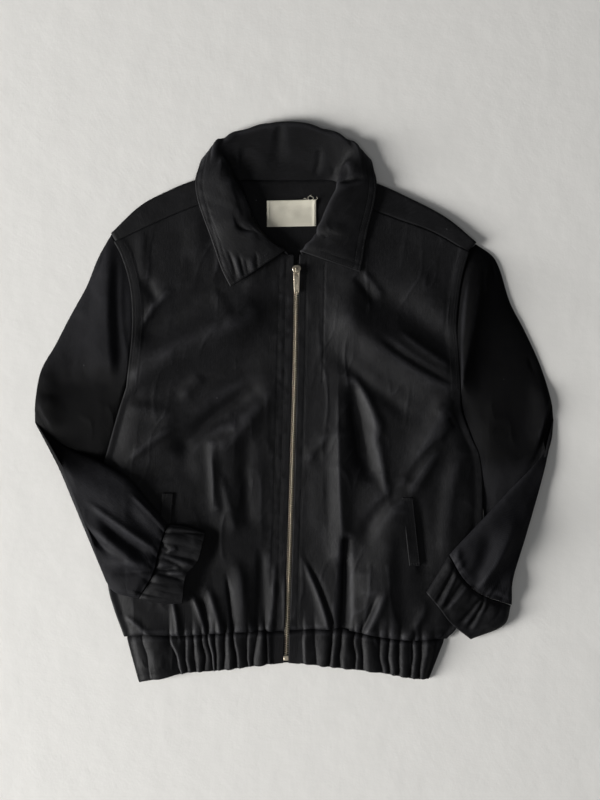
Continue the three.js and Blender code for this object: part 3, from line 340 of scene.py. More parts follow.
# Tucks of the hem band from right to left: x at the seam and at the free edge; then, for the puff from
# that tuck to the next, where its crest lies, its height and how far it runs up the front in mm.
HEM_TUCKS = {
    "right": [
        (-166, -158, 0.4, 0.5, 6), (-151, -142, 0.32, 1.1, 8), (-124, -113, 0.17, 0.9, 16),
        (-109, -107, 0.3, 0.7, 8), (-101, -98, 0.4, 0.9, 12), (-92, -89, 0.5, 0.6, 6),
        (-86, -81, 0.3, 0.9, 14), (-79, -79, 0.4, 0.8, 8), (-68, -71, 0.45, 1.1, 10),
        (-61, -57, 0.22, 0.9, 6), (-46, -46, 0.25, 0.6, 8), (-36, -41, 0.5, 1.1, 16),
        (-29, -27, 0.3, 0.5, 10), (-20, -19, 0.5, 0, 5),
    ],
    "left": [
        (9, 9, 0.2, 0.7, 10), (20, 22, 0.5, 1.0, 12), (37, 35, 0.35, 0.9, 14), (46, 47, 0.4, 1.0, 7),
        (60, 61, 0.3, 0.6, 8), (68, 69, 0.4, 1.1, 12), (84, 87, 0.4, 0.7, 8), (94, 94, 0.4, 1.0, 16),
        (106, 103, 0.35, 1.0, 9), (119, 116, 0.35, 0.8, 9), (127, 125, 0.4, 1.0, 10),
        (140, 134, 0.5, 0.5, 6), (150, 144, 0.5, 0, 5),
    ],
}

# ---------------------------------------------------------------- sizes shared by the layers, in mm
BACK_WALL = 1.2  # the back's solid in the frame
BACK_MIDDLE = BACK_WALL / 2
SEAM_GAP = 0.3
FRONT_LOWEST = BACK_MIDDLE + BACK_WALL + SEAM_GAP
FRONT_REST = 4.2
CHEST_RISE = 3.2
SIDE_ROLL = 22
SLEEVE_PUFF = 5
UPPER_PUFF = 3
ELBOW = {"right": {"puff": 3.4, "radius": 2.2}, "left": {"puff": 1.4, "radius": 0.8}}
FOLDED_FULLNESS = 10
OVER_SLEEVE = 10.4
CUFF_PUFF = 5.2
LAID_CLEARANCE = 3.4
ZIP_OPENING = 5.4
TAPE_WIDTH = 12
TRIM = 1.0
SHOULDER_TOP = 205
EDGE_ROUND = 0.38  # how far an open edge rounds out, in walls
LABEL_WALL = 0.5
TAPE_WALL = 0.7
RUB = {"front": 0.22, "sleeve": 0.6, "cuff": 0.6, "hem": 0.45, "collar": 0.25}  # mm, for Sheet.rub
SLEEVE_WEAR = 0.6
# The sleeves' lower gloss gives a shaded copy of the denim: painted shade.
SHADED_SLEEVE_GLOSS, BODY_GLOSS = 0.05, 0.145
HEM_BACK_GRID = (240, 12)
HEM_BACK_LENGTH, HEM_BACK_PITCH, HEM_BACK_SEED = 320, 9.5, 91
FLOOR_HALF = 3.0  # metres
FLOOR_DROP = 0.02
CAMERA_PLACE = (0.0055, 0.001)
LIGHT_COLOR = (1.0, 0.99, 0.97)
KEY_PLACE, FILL_PLACE = (-4.0, -1.25, 1.28), (0.6, -1.4, 3.2)
FILL_SHARE = 0.02
ROOM_STRENGTH = 0.11


# ---------------------------------------------------------------- curves and surfaces
def smoothstep(value, low, high):
    """0 below low, 1 above high, and smooth between."""
    t = np.clip((np.asarray(value, float) - low) / (high - low), 0, 1)
    return t * t * (3 - 2 * t)


def mix(a, b, share):
    return a + (b - a) * share


def run_along(points):
    """The length run up to each point of a line."""
    return np.concatenate([[0], np.cumsum(np.linalg.norm(np.diff(points, axis=0), axis=1))])


def read_at(at, run, points):
    """Points read off a line at lengths along it."""
    return np.stack([np.interp(at, run, column) for column in points.T], axis=-1)


def unit(vectors):
    return vectors / np.maximum(np.linalg.norm(vectors, axis=-1, keepdims=True), 1e-9)


def grid(across, up):
    """Shares across and up a grid of so many cells."""
    return np.meshgrid(np.linspace(0, 1, across + 1), np.linspace(0, 1, up + 1))


def raised_to(plan, z):
    """Points in plan with their heights."""
    return np.concatenate([plan, z[..., None]], axis=-1)


def centripetal(points, per_span=24):
    """Points of a centripetal Catmull-Rom curve through the given ones, and the parameter of each."""
    p = np.asarray(points, float)
    p = np.vstack([2 * p[0] - p[1], p, 2 * p[-1] - p[-2]])
    curve = []
    for k in range(1, len(p) - 2):
        a, b, c, d = p[k - 1 : k + 3]
        knots = [0.0]
        for one, other in ((a, b), (b, c), (c, d)):
            knots.append(knots[-1] + max(np.linalg.norm(other - one), 1e-6) ** 0.5)
        t = np.linspace(knots[1], knots[2], per_span, endpoint=False)[:, None]
        if k == len(p) - 3:
            t = np.vstack([t, [[knots[2]]]])
        ab = (a * (knots[1] - t) + b * (t - knots[0])) / (knots[1] - knots[0])
        bc = (b * (knots[2] - t) + c * (t - knots[1])) / (knots[2] - knots[1])
        cd = (c * (knots[3] - t) + d * (t - knots[2])) / (knots[3] - knots[2])
        abc = (ab * (knots[2] - t) + bc * (t - knots[0])) / (knots[2] - knots[0])
        bcd = (bc * (knots[3] - t) + cd * (t - knots[1])) / (knots[3] - knots[1])
        curve.append((abc * (knots[2] - t) + bcd * (t - knots[1])) / (knots[2] - knots[1]))
    return np.vstack(curve)


class Outline:
    """A smooth curve through a short table of points, as a function of the share of its length."""

    def __init__(self, points):
        self.points = centripetal(points)
        self.run = run_along(self.points)
        self.length = self.run[-1]

    def __call__(self, share):
        at = np.clip(np.asarray(share, float), 0, 1) * self.length
        return read_at(at, self.run, self.points)


def joined(first, second, share):
    """Two curves end to end, the first taking the given share."""

    def curve(t):
        t = np.asarray(t, float)
        return np.where((t < share)[..., None], first(t / share), second((t - share) / (1 - share)))

    return curve


def patch(foot, head, inner, outer, u, v):
    """Points of a four-sided patch between two curves across it and two curves up it."""
    u, v = u[..., None], v[..., None]
    uu, vv = u[..., 0], v[..., 0]
    across = mix(foot(uu), head(uu), v)
    up = mix(inner(vv), outer(vv), u)
    zero, one = np.zeros(1), np.ones(1)
    corners = mix(mix(foot(zero), foot(one), u), mix(head(zero), head(one), u), v)
    return across + up - corners


def sag(curve, share):
    """How far a curve stands off its own chord."""
    share = np.asarray(share, float)
    ends = mix(curve(np.zeros(1)), curve(np.ones(1)), share[..., None])
    return curve(share) - ends


def x_at(rows, y):
    """The x of a table of (x, y) rising in y."""
    table = np.asarray(rows, float)
    return np.interp(y, table[:, 1], table[:, 0])


def zip_x(y):
    return x_at(ZIP_LINE, y)


def fullness(share, power=4):
    """How full a flattened tube is across its width: nothing at its two folded edges."""
    return np.sqrt(np.clip(1 - (2 * np.asarray(share) - 1) ** power, 0, 1))


def fold_relief(x, y, folds):
    """Height that the frame's own folds add to a front: soft ridges and troughs."""
    total = np.zeros_like(x)
    for x1, y1, x2, y2, width, rise in folds:
        dx, dy = x2 - x1, y2 - y1
        length = math.hypot(dx, dy)
        along = ((x - x1) * dx + (y - y1) * dy) / length
        near = np.clip(along, 0, length)
        distance = np.hypot(x - x1 - near * dx / length, y - y1 - near * dy / length)
        total += rise * np.exp(-((distance / width) ** 2))
    return total


def folds_at(x, y, rows, depth=1.0):
    """Height that a table of smaller folds adds, each a row like those of FRONT_CREASES."""
    total = np.zeros_like(x)
    for x1, y1, x2, y2, bow, start, end, rise, crisp, *lee in rows:
        dx, dy = x2 - x1, y2 - y1
        length = math.hypot(dx, dy)
        along = ((x - x1) * dx + (y - y1) * dy) / length**2
        aside = ((y - y1) * dx - (x - x1) * dy) / length
        aside = aside - bow * 4 * along * (1 - along)
        width = mix(start, end, np.clip(along, 0, 1)) * np.where(aside < 0, *(lee or [1.0]), 1.0)
        fade = smoothstep(along, -0.08, 0.3) * (1 - smoothstep(along, 0.78, 1.12))
        total += rise * fade * np.exp(-np.abs(aside / width) ** mix(2.2, 1.2, crisp))
    return total * depth


def rumple(x, y, size, seed, stretch=1.0):
    """Smooth uneven swells of about -1 to 1, of a size in mm, longer along y by stretch."""
    lattice = np.random.default_rng(seed).uniform(-1, 1, (64, 64))
    gx, gy = x / size, y / (size * stretch)
    i, j = np.floor(gx).astype(int), np.floor(gy).astype(int)
    a, b = gx - i, gy - j
    a, b = a * a * (3 - 2 * a), b * b * (3 - 2 * b)

    def at(m, n):
        return lattice[(i + m) % 64, (j + n) % 64]

    return mix(mix(at(0, 0), at(1, 0), a), mix(at(0, 1), at(1, 1), a), b)


def crumple(x, y, size, seed, stretch=1.0):
    """Two sizes of swells, the finer one turned against the coarser."""
    turned = 0.8 * x + 0.6 * y, 0.8 * y - 0.6 * x
    return rumple(x, y, size, seed, stretch) + 0.45 * rumple(*turned, size * 0.45, seed + 1, stretch)


def wrinkles(x, y, size, seed, stretch=1.0):
    """Crisp thin ridges, 0 to 1, that wander and come and go, about a size in mm apart."""
    line = np.clip(1 - np.abs(rumple(x, y, size, seed, stretch)) / 0.3, 0, 1) ** 1.5
    return line * smoothstep(rumple(x, y, 1.7 * size, seed + 1), -0.1, 0.5)


def beside(curve, x, y, samples=160):
    """Distance of each point from a curve, and how far along the curve it lies, in mm."""
    points = curve(np.linspace(0, 1, samples))
    best = np.full(x.shape, 1e9)
    run_at = np.zeros(x.shape)
    run = 0.0
    for a, b in zip(points[:-1], points[1:]):
        step = b - a
        length = np.hypot(*step)
        along = np.clip(((x - a[0]) * step[0] + (y - a[1]) * step[1]) / length**2, 0, 1)
        distance = np.hypot(x - a[0] - along * step[0], y - a[1] - along * step[1])
        closer = distance < best
        best = np.where(closer, distance, best)
        run_at = np.where(closer, run + along * length, run_at)
        run += length
    return best, run_at


def front_height(x, y):
    """The middle surface of a front in the frame: lowest at the side seam, slack over the zip, domed
    over the chest."""
    right = x < zip_x(y)
    inside = np.where(right, x - x_at(BODY["right"]["side"], y), x_at(BODY["left"]["side"], y) - x)
    armpit = np.where(right, BODY["right"]["armhole"][0][1], BODY["left"]["armhole"][0][1])
    below_armpit = 1 - smoothstep(y - armpit, -30, 14)
    up = mix(1, np.sin(np.pi / 2 * np.clip(inside / SIDE_ROLL, 0, 1)), below_armpit)
    slack = smoothstep(np.abs(x - zip_x(y)), 12, 60) * (1 - smoothstep(y, 110, 200))
    full = FRONT_REST + slack * (CHEST_RISE + fold_relief(x, y, FRONT_FOLDS))
    return mix(FRONT_LOWEST, np.maximum(full, FRONT_REST), up)


def laid_height(x, y, rest):
    """The middle surface of whatever is laid on a front, or at the height rest beside it."""
    beyond = np.maximum(x - x_at(BODY["left"]["side"], y), x_at(BODY["right"]["side"], y) - x)
    return np.maximum(rest, front_height(x, y) + LAID_CLEARANCE * (1 - smoothstep(beyond, 0, 14)))


def cuff_rest(side, share):
    """Height at which a cuff lies: on the front, and the left one's far end on the floor."""
    return OVER_SLEEVE - (7 * smoothstep(share, 0.3, 1) if side == "left" else 0)


# ---------------------------------------------------------------- uneven gathers
class Gathers:
    """Puffs of cloth between the tucks of an elastic seam, uneven in width and height. Called with the
    distance along the seam, it gives a puff's height from 0 at a tuck to about 1."""

    def __init__(self, length, pitch, seed, lead=0.0, tail=0.0):
        random = np.random.default_rng(seed)
        knots = [lead]
        while knots[-1] < length - tail - 0.6 * pitch:
            knots.append(knots[-1] + pitch * random.uniform(0.55, 1.5))
        self.knots = np.array(knots[:-1] + [length - tail])
        cells = len(self.knots) - 1
        self.heights = random.uniform(0.45, 1.15, cells)
        self.reach = random.uniform(0.35, 1.4, cells)
        self.lean = random.uniform(-1, 1, cells)
        self.skew = random.uniform(0.75, 1.35, cells)

    def puff(self, s, away=0.0, reach=None):
        """Puff height at s along the seam. Where reach is given, each puff dies out over its own
        multiple of that distance away from the seam."""
        k = np.clip(np.searchsorted(self.knots, s, side="right") - 1, 0, len(self.heights) - 1)
        low, high = self.knots[k], self.knots[k + 1]
        inside = np.clip((s - low) / (high - low), 0, 1) ** self.skew[k]
        shape = np.sin(np.pi * inside) ** 0.75
        height = self.heights[k] * shape
        outside = (s < self.knots[0]) | (s > self.knots[-1])
        height = np.where(outside, 0, height)
        if reach is not None:
            height = height * np.exp(-((np.maximum(away, 0) / (reach * self.reach[k])) ** 1.4))
        return height


# ---------------------------------------------------------------- from middle surfaces to meshes
class Sheet:
    """A layer of cloth as rows of points of its middle surface, in mm. A ring closes each row on
    itself. Its normals face up, or out of a ring."""

    def __init__(self, points, ring=False, present=None, plan_grain=False):
        self.points = np.array(points, float)
        self.ring = ring
        self.plan_grain = plan_grain
        rows, across = self.points.shape[:2]
        cells = np.ones((rows - 1, across if ring else across - 1), bool)
        if present is not None:
            cells &= present
        self.cells = cells
        self.wear_and_shade = np.zeros((rows, across))
        self.refresh()

    def refresh(self):
        """Works the normals and the lengths along the cloth out again after the points have moved."""
        p = self.points
        if self.ring:
            wide = np.concatenate([p[:, -1:], p, p[:, :1]], axis=1)
            du = wide[:, 2:] - wide[:, :-2]
        else:
            du = np.gradient(p, axis=1)
        dv = np.gradient(p, axis=0)
        normal = unit(np.cross(du, dv))
        if self.ring:
            outward = p - p.mean(axis=1, keepdims=True)
            facing = (normal * outward).sum()
        else:
            facing = normal[..., 2].sum()
        self.normals = normal if facing > 0 else -normal
        if self.plan_grain:
            self.u_run, self.v_run = p[..., 0], p[..., 1]
            return
        closed = np.concatenate([p, p[:, :1]], axis=1) if self.ring else p
        across = np.linalg.norm(np.diff(closed, axis=1), axis=-1)
        up = np.linalg.norm(np.diff(p, axis=0), axis=-1)
        self.u_run = np.concatenate([np.zeros((len(p), 1)), np.cumsum(across, axis=1)], axis=1)
        self.v_run = np.concatenate([np.zeros((1, p.shape[1])), np.cumsum(up, axis=0)], axis=0)

    def lift(self, amount):
        """Moves the points along their normals by an array of heights, in mm."""
        self.points = self.points + self.normals * np.asarray(amount)[..., None]
        self.refresh()

    def rub(self, height):
        """Marks where the cloth stands proud of its surroundings by about a height in mm, as rubbed."""
        around = self.points
        for _ in range(5):
            wide = np.pad(around, ((1, 1), (0, 0), (0, 0)), mode="edge")
            around = (wide[:-2] + wide[1:-1] + wide[2:]) / 3
            wide = np.pad(around, ((0, 0), (1, 1), (0, 0)), mode="wrap" if self.ring else "edge")
            around = (wide[:, :-2] + wide[:, 1:-1] + wide[:, 2:]) / 3
        proud = ((self.points - around) * self.normals).sum(axis=-1)
        if not self.ring:
            proud = proud * np.sign(self.normals[..., 2].mean())
        self.wear_and_shade = smoothstep(proud, 0.2 * height, 1.6 * height)

    def paint_shade(self, low, high, strength):
        """Adds the sleeves' own wear, then takes it off between two heights in mm along Y, below 0 there,
        which darkens the colour: painted shade.
        """
        y = self.points[..., 1]
        inside = smoothstep(y, low - 30, low) * (1 - smoothstep(y, high, high + 70))
        self.wear_and_shade = self.wear_and_shade + SLEEVE_WEAR - strength * inside

    def at(self, row, column):
        """Points and normals at fractional rows and columns."""
        rows, across = self.points.shape[:2]
        row = np.clip(np.asarray(row, float), 0, rows - 1)
        column = np.asarray(column, float)
        column = np.mod(column, across) if self.ring else np.clip(column, 0, across - 1)
        i = np.minimum(row.astype(int), rows - 2)
        j = column.astype(int) if self.ring else np.minimum(column.astype(int), across - 2)
        next_j = (j + 1) % across
        a, b = (row - i)[..., None], (column - j)[..., None]

        def blend(field):
            below, above = (mix(field[k, j], field[k, next_j], b) for k in (i, i + 1))
            return mix(below, above, a)

        return blend(self.points), unit(blend(self.normals))

    def mesh(self, name, wall):
        """The closed mesh of this layer, its open edges rounded, with the lengths along the cloth as
        its texture coordinates. wall is in metres."""
        wall = wall / MM
        rows, across = self.points.shape[:2]
        index = np.arange(rows * across).reshape(rows, across)
        i, j = np.nonzero(self.cells)
        next_j = (j + 1) % across
        quads = np.stack([index[i, j], index[i, next_j], index[i + 1, next_j], index[i + 1, j]], axis=1)
        u_next = np.where(next_j > j, next_j, across)
        corners = ((i, j, j), (i, u_next, next_j), (i + 1, u_next, next_j), (i + 1, j, j))
        uv = [np.stack([self.u_run[row, u_at], self.v_run[row, v_at]], -1) for row, u_at, v_at in corners]
        uv = np.stack(uv, axis=1)
        middle = self.points.reshape(-1, 3)
        normal = self.normals.reshape(-1, 3)
        corner_sum = np.zeros_like(middle)
        corner_count = np.zeros(len(middle))
        centres = middle[quads].mean(axis=1)
        for corner in range(4):
            np.add.at(corner_sum, quads[:, corner], centres)
            np.add.at(corner_count, quads[:, corner], 1)
        outward = middle - corner_sum / np.maximum(corner_count, 1)[:, None]
        outward = unit(outward - normal * (outward * normal).sum(-1, keepdims=True))

        starts = quads.reshape(-1)
        ends = np.roll(quads, -1, axis=1).reshape(-1)
        loop_uv = uv.reshape(-1, 2)
        end_uv = np.roll(uv, -1, axis=1).reshape(-1, 2)
        count = len(middle)
        forward = starts.astype(np.int64) * count + ends
        backward = ends.astype(np.int64) * count + starts
        rim = ~np.isin(forward, backward)
        a, b = starts[rim], ends[rim]
        a_uv, b_uv = loop_uv[rim], end_uv[rim]

        top = middle + normal * wall / 2
        bottom = middle - normal * wall / 2
        edge = middle + outward * wall * EDGE_ROUND
        points = np.concatenate([top, bottom, edge])
        points[:, 2] = np.maximum(points[:, 2], 0)
        facing_up = self._faces_up(quads, middle, normal)
        upper_rim = np.stack([b, a, a + 2 * count, b + 2 * count], axis=1)
        lower_rim = np.stack([b + 2 * count, a + 2 * count, a + count, b + count], axis=1)
        rim_uv = np.stack([b_uv, a_uv, a_uv, b_uv], axis=1)
        faces = np.concatenate([quads, quads[:, ::-1] + count, upper_rim, lower_rim])
        face_uv = np.concatenate([uv, uv[:, ::-1], rim_uv, rim_uv])
        if not facing_up:
            faces = faces[:, ::-1]
            face_uv = face_uv[:, ::-1]
        used = np.unique(faces)
        place = np.zeros(len(points), int)
        place[used] = np.arange(len(used))
        wear_and_shade = np.concatenate([self.wear_and_shade.reshape(-1)] * 3)[used]
        return new_mesh(name, points[used], place[faces], face_uv, wear_and_shade)

    @staticmethod
    def _faces_up(quads, middle, normal):
        a, b, c, d = (middle[quads[:, k]] for k in range(4))
        face_normal = np.cross(c - a, d - b)
        return (face_normal * normal[quads[:, 0]]).sum() > 0


def new_mesh(name, points, faces, uv=None, wear_and_shade=None):
    """A smooth-shaded object from points in mm and quads."""
    mesh = bpy.data.meshes.new(name)
    mesh.vertices.add(len(points))
    mesh.vertices.foreach_set("co", (np.asarray(points) * MM).astype(np.float32).ravel())
    faces = np.asarray(faces)
    mesh.loops.add(faces.size)
    mesh.loops.foreach_set("vertex_index", faces.astype(np.int32).ravel())
    mesh.polygons.add(len(faces))
    starts = np.arange(0, faces.size, faces.shape[1], dtype=np.int32)
    mesh.polygons.foreach_set("loop_start", starts)
    mesh.polygons.foreach_set("use_smooth", np.ones(len(faces), bool))
    mesh.update(calc_edges=True)
    if uv is not None:
        layer = mesh.uv_layers.new(name="cloth")
        layer.data.foreach_set("uv", (np.asarray(uv) * MM).astype(np.float32).ravel())
    if wear_and_shade is not None:
        attribute = mesh.attributes.new("wear_and_shade", "FLOAT", "POINT")
        attribute.data.foreach_set("value", np.asarray(wear_and_shade, np.float32))
    mesh.validate()
    return linked(name, mesh)


def linked(name, data):
    """A new object in the scene."""
    piece = bpy.data.objects.new(name, data)
    bpy.context.scene.collection.objects.link(piece)
    return piece


def paint(piece, material):
    """Gives a piece its one material."""
    piece.data.materials.clear()
    piece.data.materials.append(material)
    return piece


def quads_round(index):
    """The quads between rings of points, given as rows of their numbers."""
    turned = np.roll(index, -1, axis=1)
    return np.stack([index[:-1], turned[:-1], turned[1:], index[1:]], axis=-1).reshape(-1, 4)


def tubes(name, rings, material):
    """Closed six-sided tubes as one joined mesh. Each of rings is an array of stations of six points."""
    points, faces = [], []
    base = 0
    for ring in rings:
        stations, sides = ring.shape[:2]
        index = base + np.arange(stations * sides).reshape(stations, sides)
        faces.append(quads_round(index))
        first, last = index[0], index[-1]
        caps = [first[[3, 2, 1, 0]], first[[5, 4, 3, 0]], last[[0, 1, 2, 3]], last[[0, 3, 4, 5]]]
        faces.append(np.array(caps))
        points.append(ring.reshape(-1, 3))
        base += stations * sides
    return paint(new_mesh(name, np.concatenate(points), np.concatenate(faces)), material)


TUBE_ANGLES = np.arange(6) * np.pi / 3


def round_rings(centre, radius, side, up):
    """Rings of six points round the stations of a line."""
    return (
        centre[:, None]
        + (radius[:, None] * np.cos(TUBE_ANGLES))[..., None] * side[:, None]
        + (radius[:, None] * np.sin(TUBE_ANGLES))[..., None] * up[:, None]
    )


def stitched(name, lines, material, sewing, loose=0.05):
    """Topstitching as one joined mesh. lines are (points, normals) along each row of stitches, in mm,
    already on the cloth's face. Each stitch is a short spindle of thread half sunk in the cloth."""
    pitch, length, thick = sewing.stitch_pitch / MM, sewing.stitch_length / MM, sewing.thread / MM
    stations = np.array([-0.5, -0.36, 0.0, 0.36, 0.5])
    swell = np.array([0.35, 0.85, 1.0, 0.85, 0.35])
    rise = np.array([-0.55, -0.05, 0.12, -0.05, -0.55])
    random = np.random.default_rng(sewing.seed + len(name))
    rings = []
    for line, normal in lines:
        run = run_along(line)
        for middle in np.arange(pitch / 2, run[-1] - pitch / 2, pitch):
            at = middle + stations * length
            centre, up = read_at(at, run, line), read_at(at, run, normal)
            side = unit(np.cross(up, unit(centre[-1] - centre[0])))
            centre = centre + side * random.normal(0, loose) + up * (rise * thick)[:, None]
            centre[:, 2] = np.maximum(centre[:, 2], thick / 2)
            rings.append(round_rings(centre, thick / 2 * swell, side, up))
    return tubes(name, rings, material)


def strands(name, lines, radius, material):
    """Loose threads as one joined mesh of thin tapered tubes along lines in mm."""
    rings = []
    for line in lines:
        curve = centripetal(line, 8)
        along = unit(np.gradient(curve, axis=0))
        side = unit(np.cross(along, np.array([0.11, 0.07, 1.0])))
        up = np.cross(side, along)
        share = np.linspace(0.02, 0.98, len(curve))
        thick = radius * (0.35 + 0.65 * np.sin(np.pi * share) ** 0.4)
        rings.append(round_rings(curve, thick, side, up))
    return tubes(name, rings, material)


def seam_groove(distance, width=0.9, depth=0.45):
    """The dip that a row of stitches or a seam pulls into the cloth."""
    return -depth * np.exp(-((distance / width) ** 2))


def cloth_piece(sheet, name, wall, material, slot="denim"):
    """The mesh of a sheet, painted, riding on the cloth body in place of its node."""
    return settled(paint(sheet.mesh(name + CLOTH_SUFFIX, wall), material), slot, name)


def settled(piece, slot, *nodes, body=CLOTH_BODY):
    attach(piece, body)
    if nodes:
        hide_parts(*nodes)
    return piece


def offset(points, distance):
    """A plan curve moved sideways, to its left for a positive distance."""
    step = np.gradient(points, axis=0)
    normal = np.stack([-step[:, 1], step[:, 0]], axis=1)
    return points + unit(normal) * distance


def dropped(piece, plan):
    """A plan curve laid on the top face of a piece: its points and normals in mm."""
    points, normals = [], []
    for x, y in plan:
        hit, place, normal, _ = piece.ray_cast(Vector((x * MM, y * MM, 0.2)), Vector((0, 0, -1)))
        if hit:
            points.append(np.array(place) / MM)
            normals.append(np.array(normal))
    if len(points) < 3:
        raise RuntimeError(f"a row of stitches misses {piece.name}")
    normals = np.array(normals)
    kernel = np.ones(3) / 3
    normals[1:-1] = np.stack([np.convolve(n, kernel, "valid") for n in normals.T], axis=1)
    return np.array(points), unit(normals)


# ---------------------------------------------------------------- back and fronts
BACK_GRID = (40, 40, 46)  # cells over each shoulder and the neck, and up the flat part
WRAP_ROWS = 18
ROLL_SHARE = 0.45  # of the wrap's rows, over the roll at the shoulder
ARMHOLE_ROWS_SHARE = 7 / 15
FELL_WIDTH = 8.2  # the felled seam round each armhole
FRONT_GRID = (150, 230)
NECK_SHARE = 6 / 14
SIDE_SHARE = 14 / 22
SIDE_LAP = 1.9  # the side seam's roll and the felled edge stand out this much over the sleeve


def back_sheet():
    over, neck_cells, flat_rows = BACK_GRID
    share = np.linspace(0, 1, over + 1)
    right, left = BODY["right"], BODY["left"]
    seats, seams = [], []
    for table in (right, left):
        at, seam = Outline(table["shoulder"])(share), Outline(table["forward_seam"])(share)
        seats.append(at if table is right else at[::-1])
        seams.append(seam if table is right else seam[::-1])
    k = np.linspace(0, 1, neck_cells + 1)[1:-1]
    neck_y = 225 - 2.5 * (1 - (2 * k - 1) ** 4)
    neck = np.stack([mix(seats[0][-1, 0], seats[1][0, 0], k), neck_y], axis=1)
    head_points = np.vstack([seats[0], neck, seats[1]])
    across = len(head_points) - 1

    def head(u):
        at = np.asarray(u, float) * across
        return read_at(at, np.arange(across + 1), head_points)

    def edge(table):
        armhole = Outline(table["armhole"] + [table["shoulder"][0]])
        return joined(Outline(table["side"]), armhole, ARMHOLE_ROWS_SHARE)

    foot = Outline(right["hem_seam"][::-1] + left["hem_seam"])
    u, v = grid(across, flat_rows)
    plan = patch(foot, head, edge(right), edge(left), u, v)
    flat = raised_to(plan, np.full(plan.shape[:2], BACK_MIDDLE))
    seam_points = head_points.copy()
    seam_points[: over + 1] = seams[0]
    seam_points[-over - 1 :] = seams[1]
    top = front_height(seam_points[:, 0], seam_points[:, 1])
    outward = unit(head_points - seam_points)
    end = seam_points + outward * (SEAM_GAP + 0.4)
    wrap = []
    for k in np.linspace(0, 1, WRAP_ROWS + 1)[1:]:
        roll = (top - BACK_MIDDLE) / 2
        turn = min(k / ROLL_SHARE, 1) * math.pi
        share = max(0.0, (k - ROLL_SHARE) / (1 - ROLL_SHARE))
        xy = mix(head_points, end, share) + outward * (roll * math.sin(turn) * 0.66)[:, None]
        z = BACK_MIDDLE + roll * (1 - math.cos(turn))
        swell = 0.5 * crumple(xy[:, 0], xy[:, 1], 16, 5) * math.sin(math.pi * share)
        wrap.append(raised_to(xy, z + swell))
    present = np.ones((flat_rows + WRAP_ROWS, across), bool)
    present[flat_rows:, over : across - over] = False
    return Sheet(np.concatenate([flat, np.array(wrap)]), present=present)


def front_plan(side):
    """Points in plan of a front's grid, and the shares across it and up it."""
    table = BODY[side]
    half_opening = SIDEWARD[side] * ZIP_OPENING / 2
    foot_y = table["hem_seam"][0][1] + SEAM_GAP
    top_y = table["neckline"][-1][1]
    foot = Outline([(zip_x(foot_y) + half_opening, foot_y)] + table["hem_seam"][1:])
    neck = Outline([(zip_x(top_y) + half_opening, top_y)] + table["neckline"][::-1][1:])
    head = joined(neck, Outline(table["forward_seam"][::-1]), NECK_SHARE)
    outer = joined(Outline(table["side"]), Outline(table["armhole"]), SIDE_SHARE)

    def inner(v):
        y = mix(foot_y, top_y, v)
        return np.stack([zip_x(y) + half_opening, y], axis=-1)

    u, v = grid(*FRONT_GRID)
    return patch(foot, head, inner, outer, u, v), u, v, foot


def hem_puffs(side, x, down, above=None):
    """Height of the hem's puffs, from 0 at a tuck to about 1, at x and a share of the band's depth.
    above is the distance over the seam, where each puff dies out at its own rate."""
    at_seam, at_edge, crest, tall, reach = np.array(HEM_TUCKS[side]).T
    tuck = mix(at_seam, at_edge, np.asarray(down, float)[..., None])
    inside = np.clip((x[..., None] - tuck[..., :-1]) / np.diff(tuck, axis=-1), 0, 1)
    crest = crest[:-1]
    shape = np.where(inside < crest, inside / crest, (1 - inside) / (1 - crest))
    shape = np.sin(np.pi / 2 * shape) ** 0.85 * tall[:-1]
    if above is not None:
        shape = shape * np.exp(-((np.maximum(above, 0)[..., None] / reach[:-1]) ** 1.3))
    return shape.sum(axis=-1)


def table_top(side):
    """The y of the armpit, where the side seam ends."""
    return BODY[side]["side"][-1][1]


def placket_lines(side):
    """Rows of stitches beside the zip: distance from its line, and how far down and up they run."""
    if side == "right":
        return [(-10.2, -226, 140), (-17, -226, 126)]
    return [(10.2, -226, 140), (28, 20, 136)]


def front_sheet(side, cloth):
    plan, u, v, foot = front_plan(side)
    x, y = plan[..., 0], plan[..., 1]
    depth = cloth.crease_depth
    come = 1 - 0.75 * smoothstep(u, 0.93, 1.0)
    z = front_height(x, y)
    z = z + depth * come * fold_relief(x, y, FRONT_FOLDS) * smoothstep(np.abs(x - zip_x(y)), 12, 60)
    z = z + folds_at(x, y, FRONT_CREASES[side], depth) * come
    away = y - foot(u)[..., 1]
    sway = 0.9 * rumple(x, y, 13, 45)
    z = z + depth * (2.6 * hem_puffs(side, x + sway, 0 * u, away) - 0.7 * np.exp(-((away / 14) ** 2)))
    z = z - 1.2 * np.exp(-((away / 2.2) ** 2)) * come
    fell, run = beside(Outline(BODY[side]["armhole"]), x, y)
    pucker = 0.10 * rumple(run, fell, 5.5, 31)
    z = z + (0.55 + pucker) * (1 - smoothstep(fell, FELL_WIDTH - 0.7, FELL_WIDTH + 0.5))
    z = z + seam_groove(fell - FELL_WIDTH + 1.4, 0.7, 0.28) + seam_groove(fell - 1.5, 0.8, 0.3)
    off = x - zip_x(y)
    for line, low, high in placket_lines(side):
        here = smoothstep(y, low - 4, low + 2) * (1 - smoothstep(y, high - 2, high + 4))
        z = z + here * seam_groove(off - line, 0.9, 0.34)
        z = z + here * 0.22 * rumple(off, y, 5, 41) * np.exp(-(((off - line) / 5) ** 2))
    z = z + 0.3 * rumple(off, y, 6, 43) * np.exp(-((off / 9) ** 2))
    z = z + depth * come * (0.38 * crumple(x, y, 26, 51, 1.8) + 0.10 * crumple(x, y, 8, 53, 1.4))
    crisp = 0.45 * wrinkles(x, y, 21, 55, 2.2) + 0.3 * wrinkles(0.8 * x - 0.6 * y, x, 17, 57)
    z = z + depth * come * crisp
    lap = smoothstep(u, 0.965, 1.0)
    x = x + SIDEWARD[side] * SIDE_LAP * lap
    z = z + 2.0 * lap * (1 - smoothstep(y, table_top(side) - 30, table_top(side)))
    return Sheet(np.stack([x, y, np.maximum(z, BACK_MIDDLE + BACK_WALL)], axis=-1), plan_grain=True)


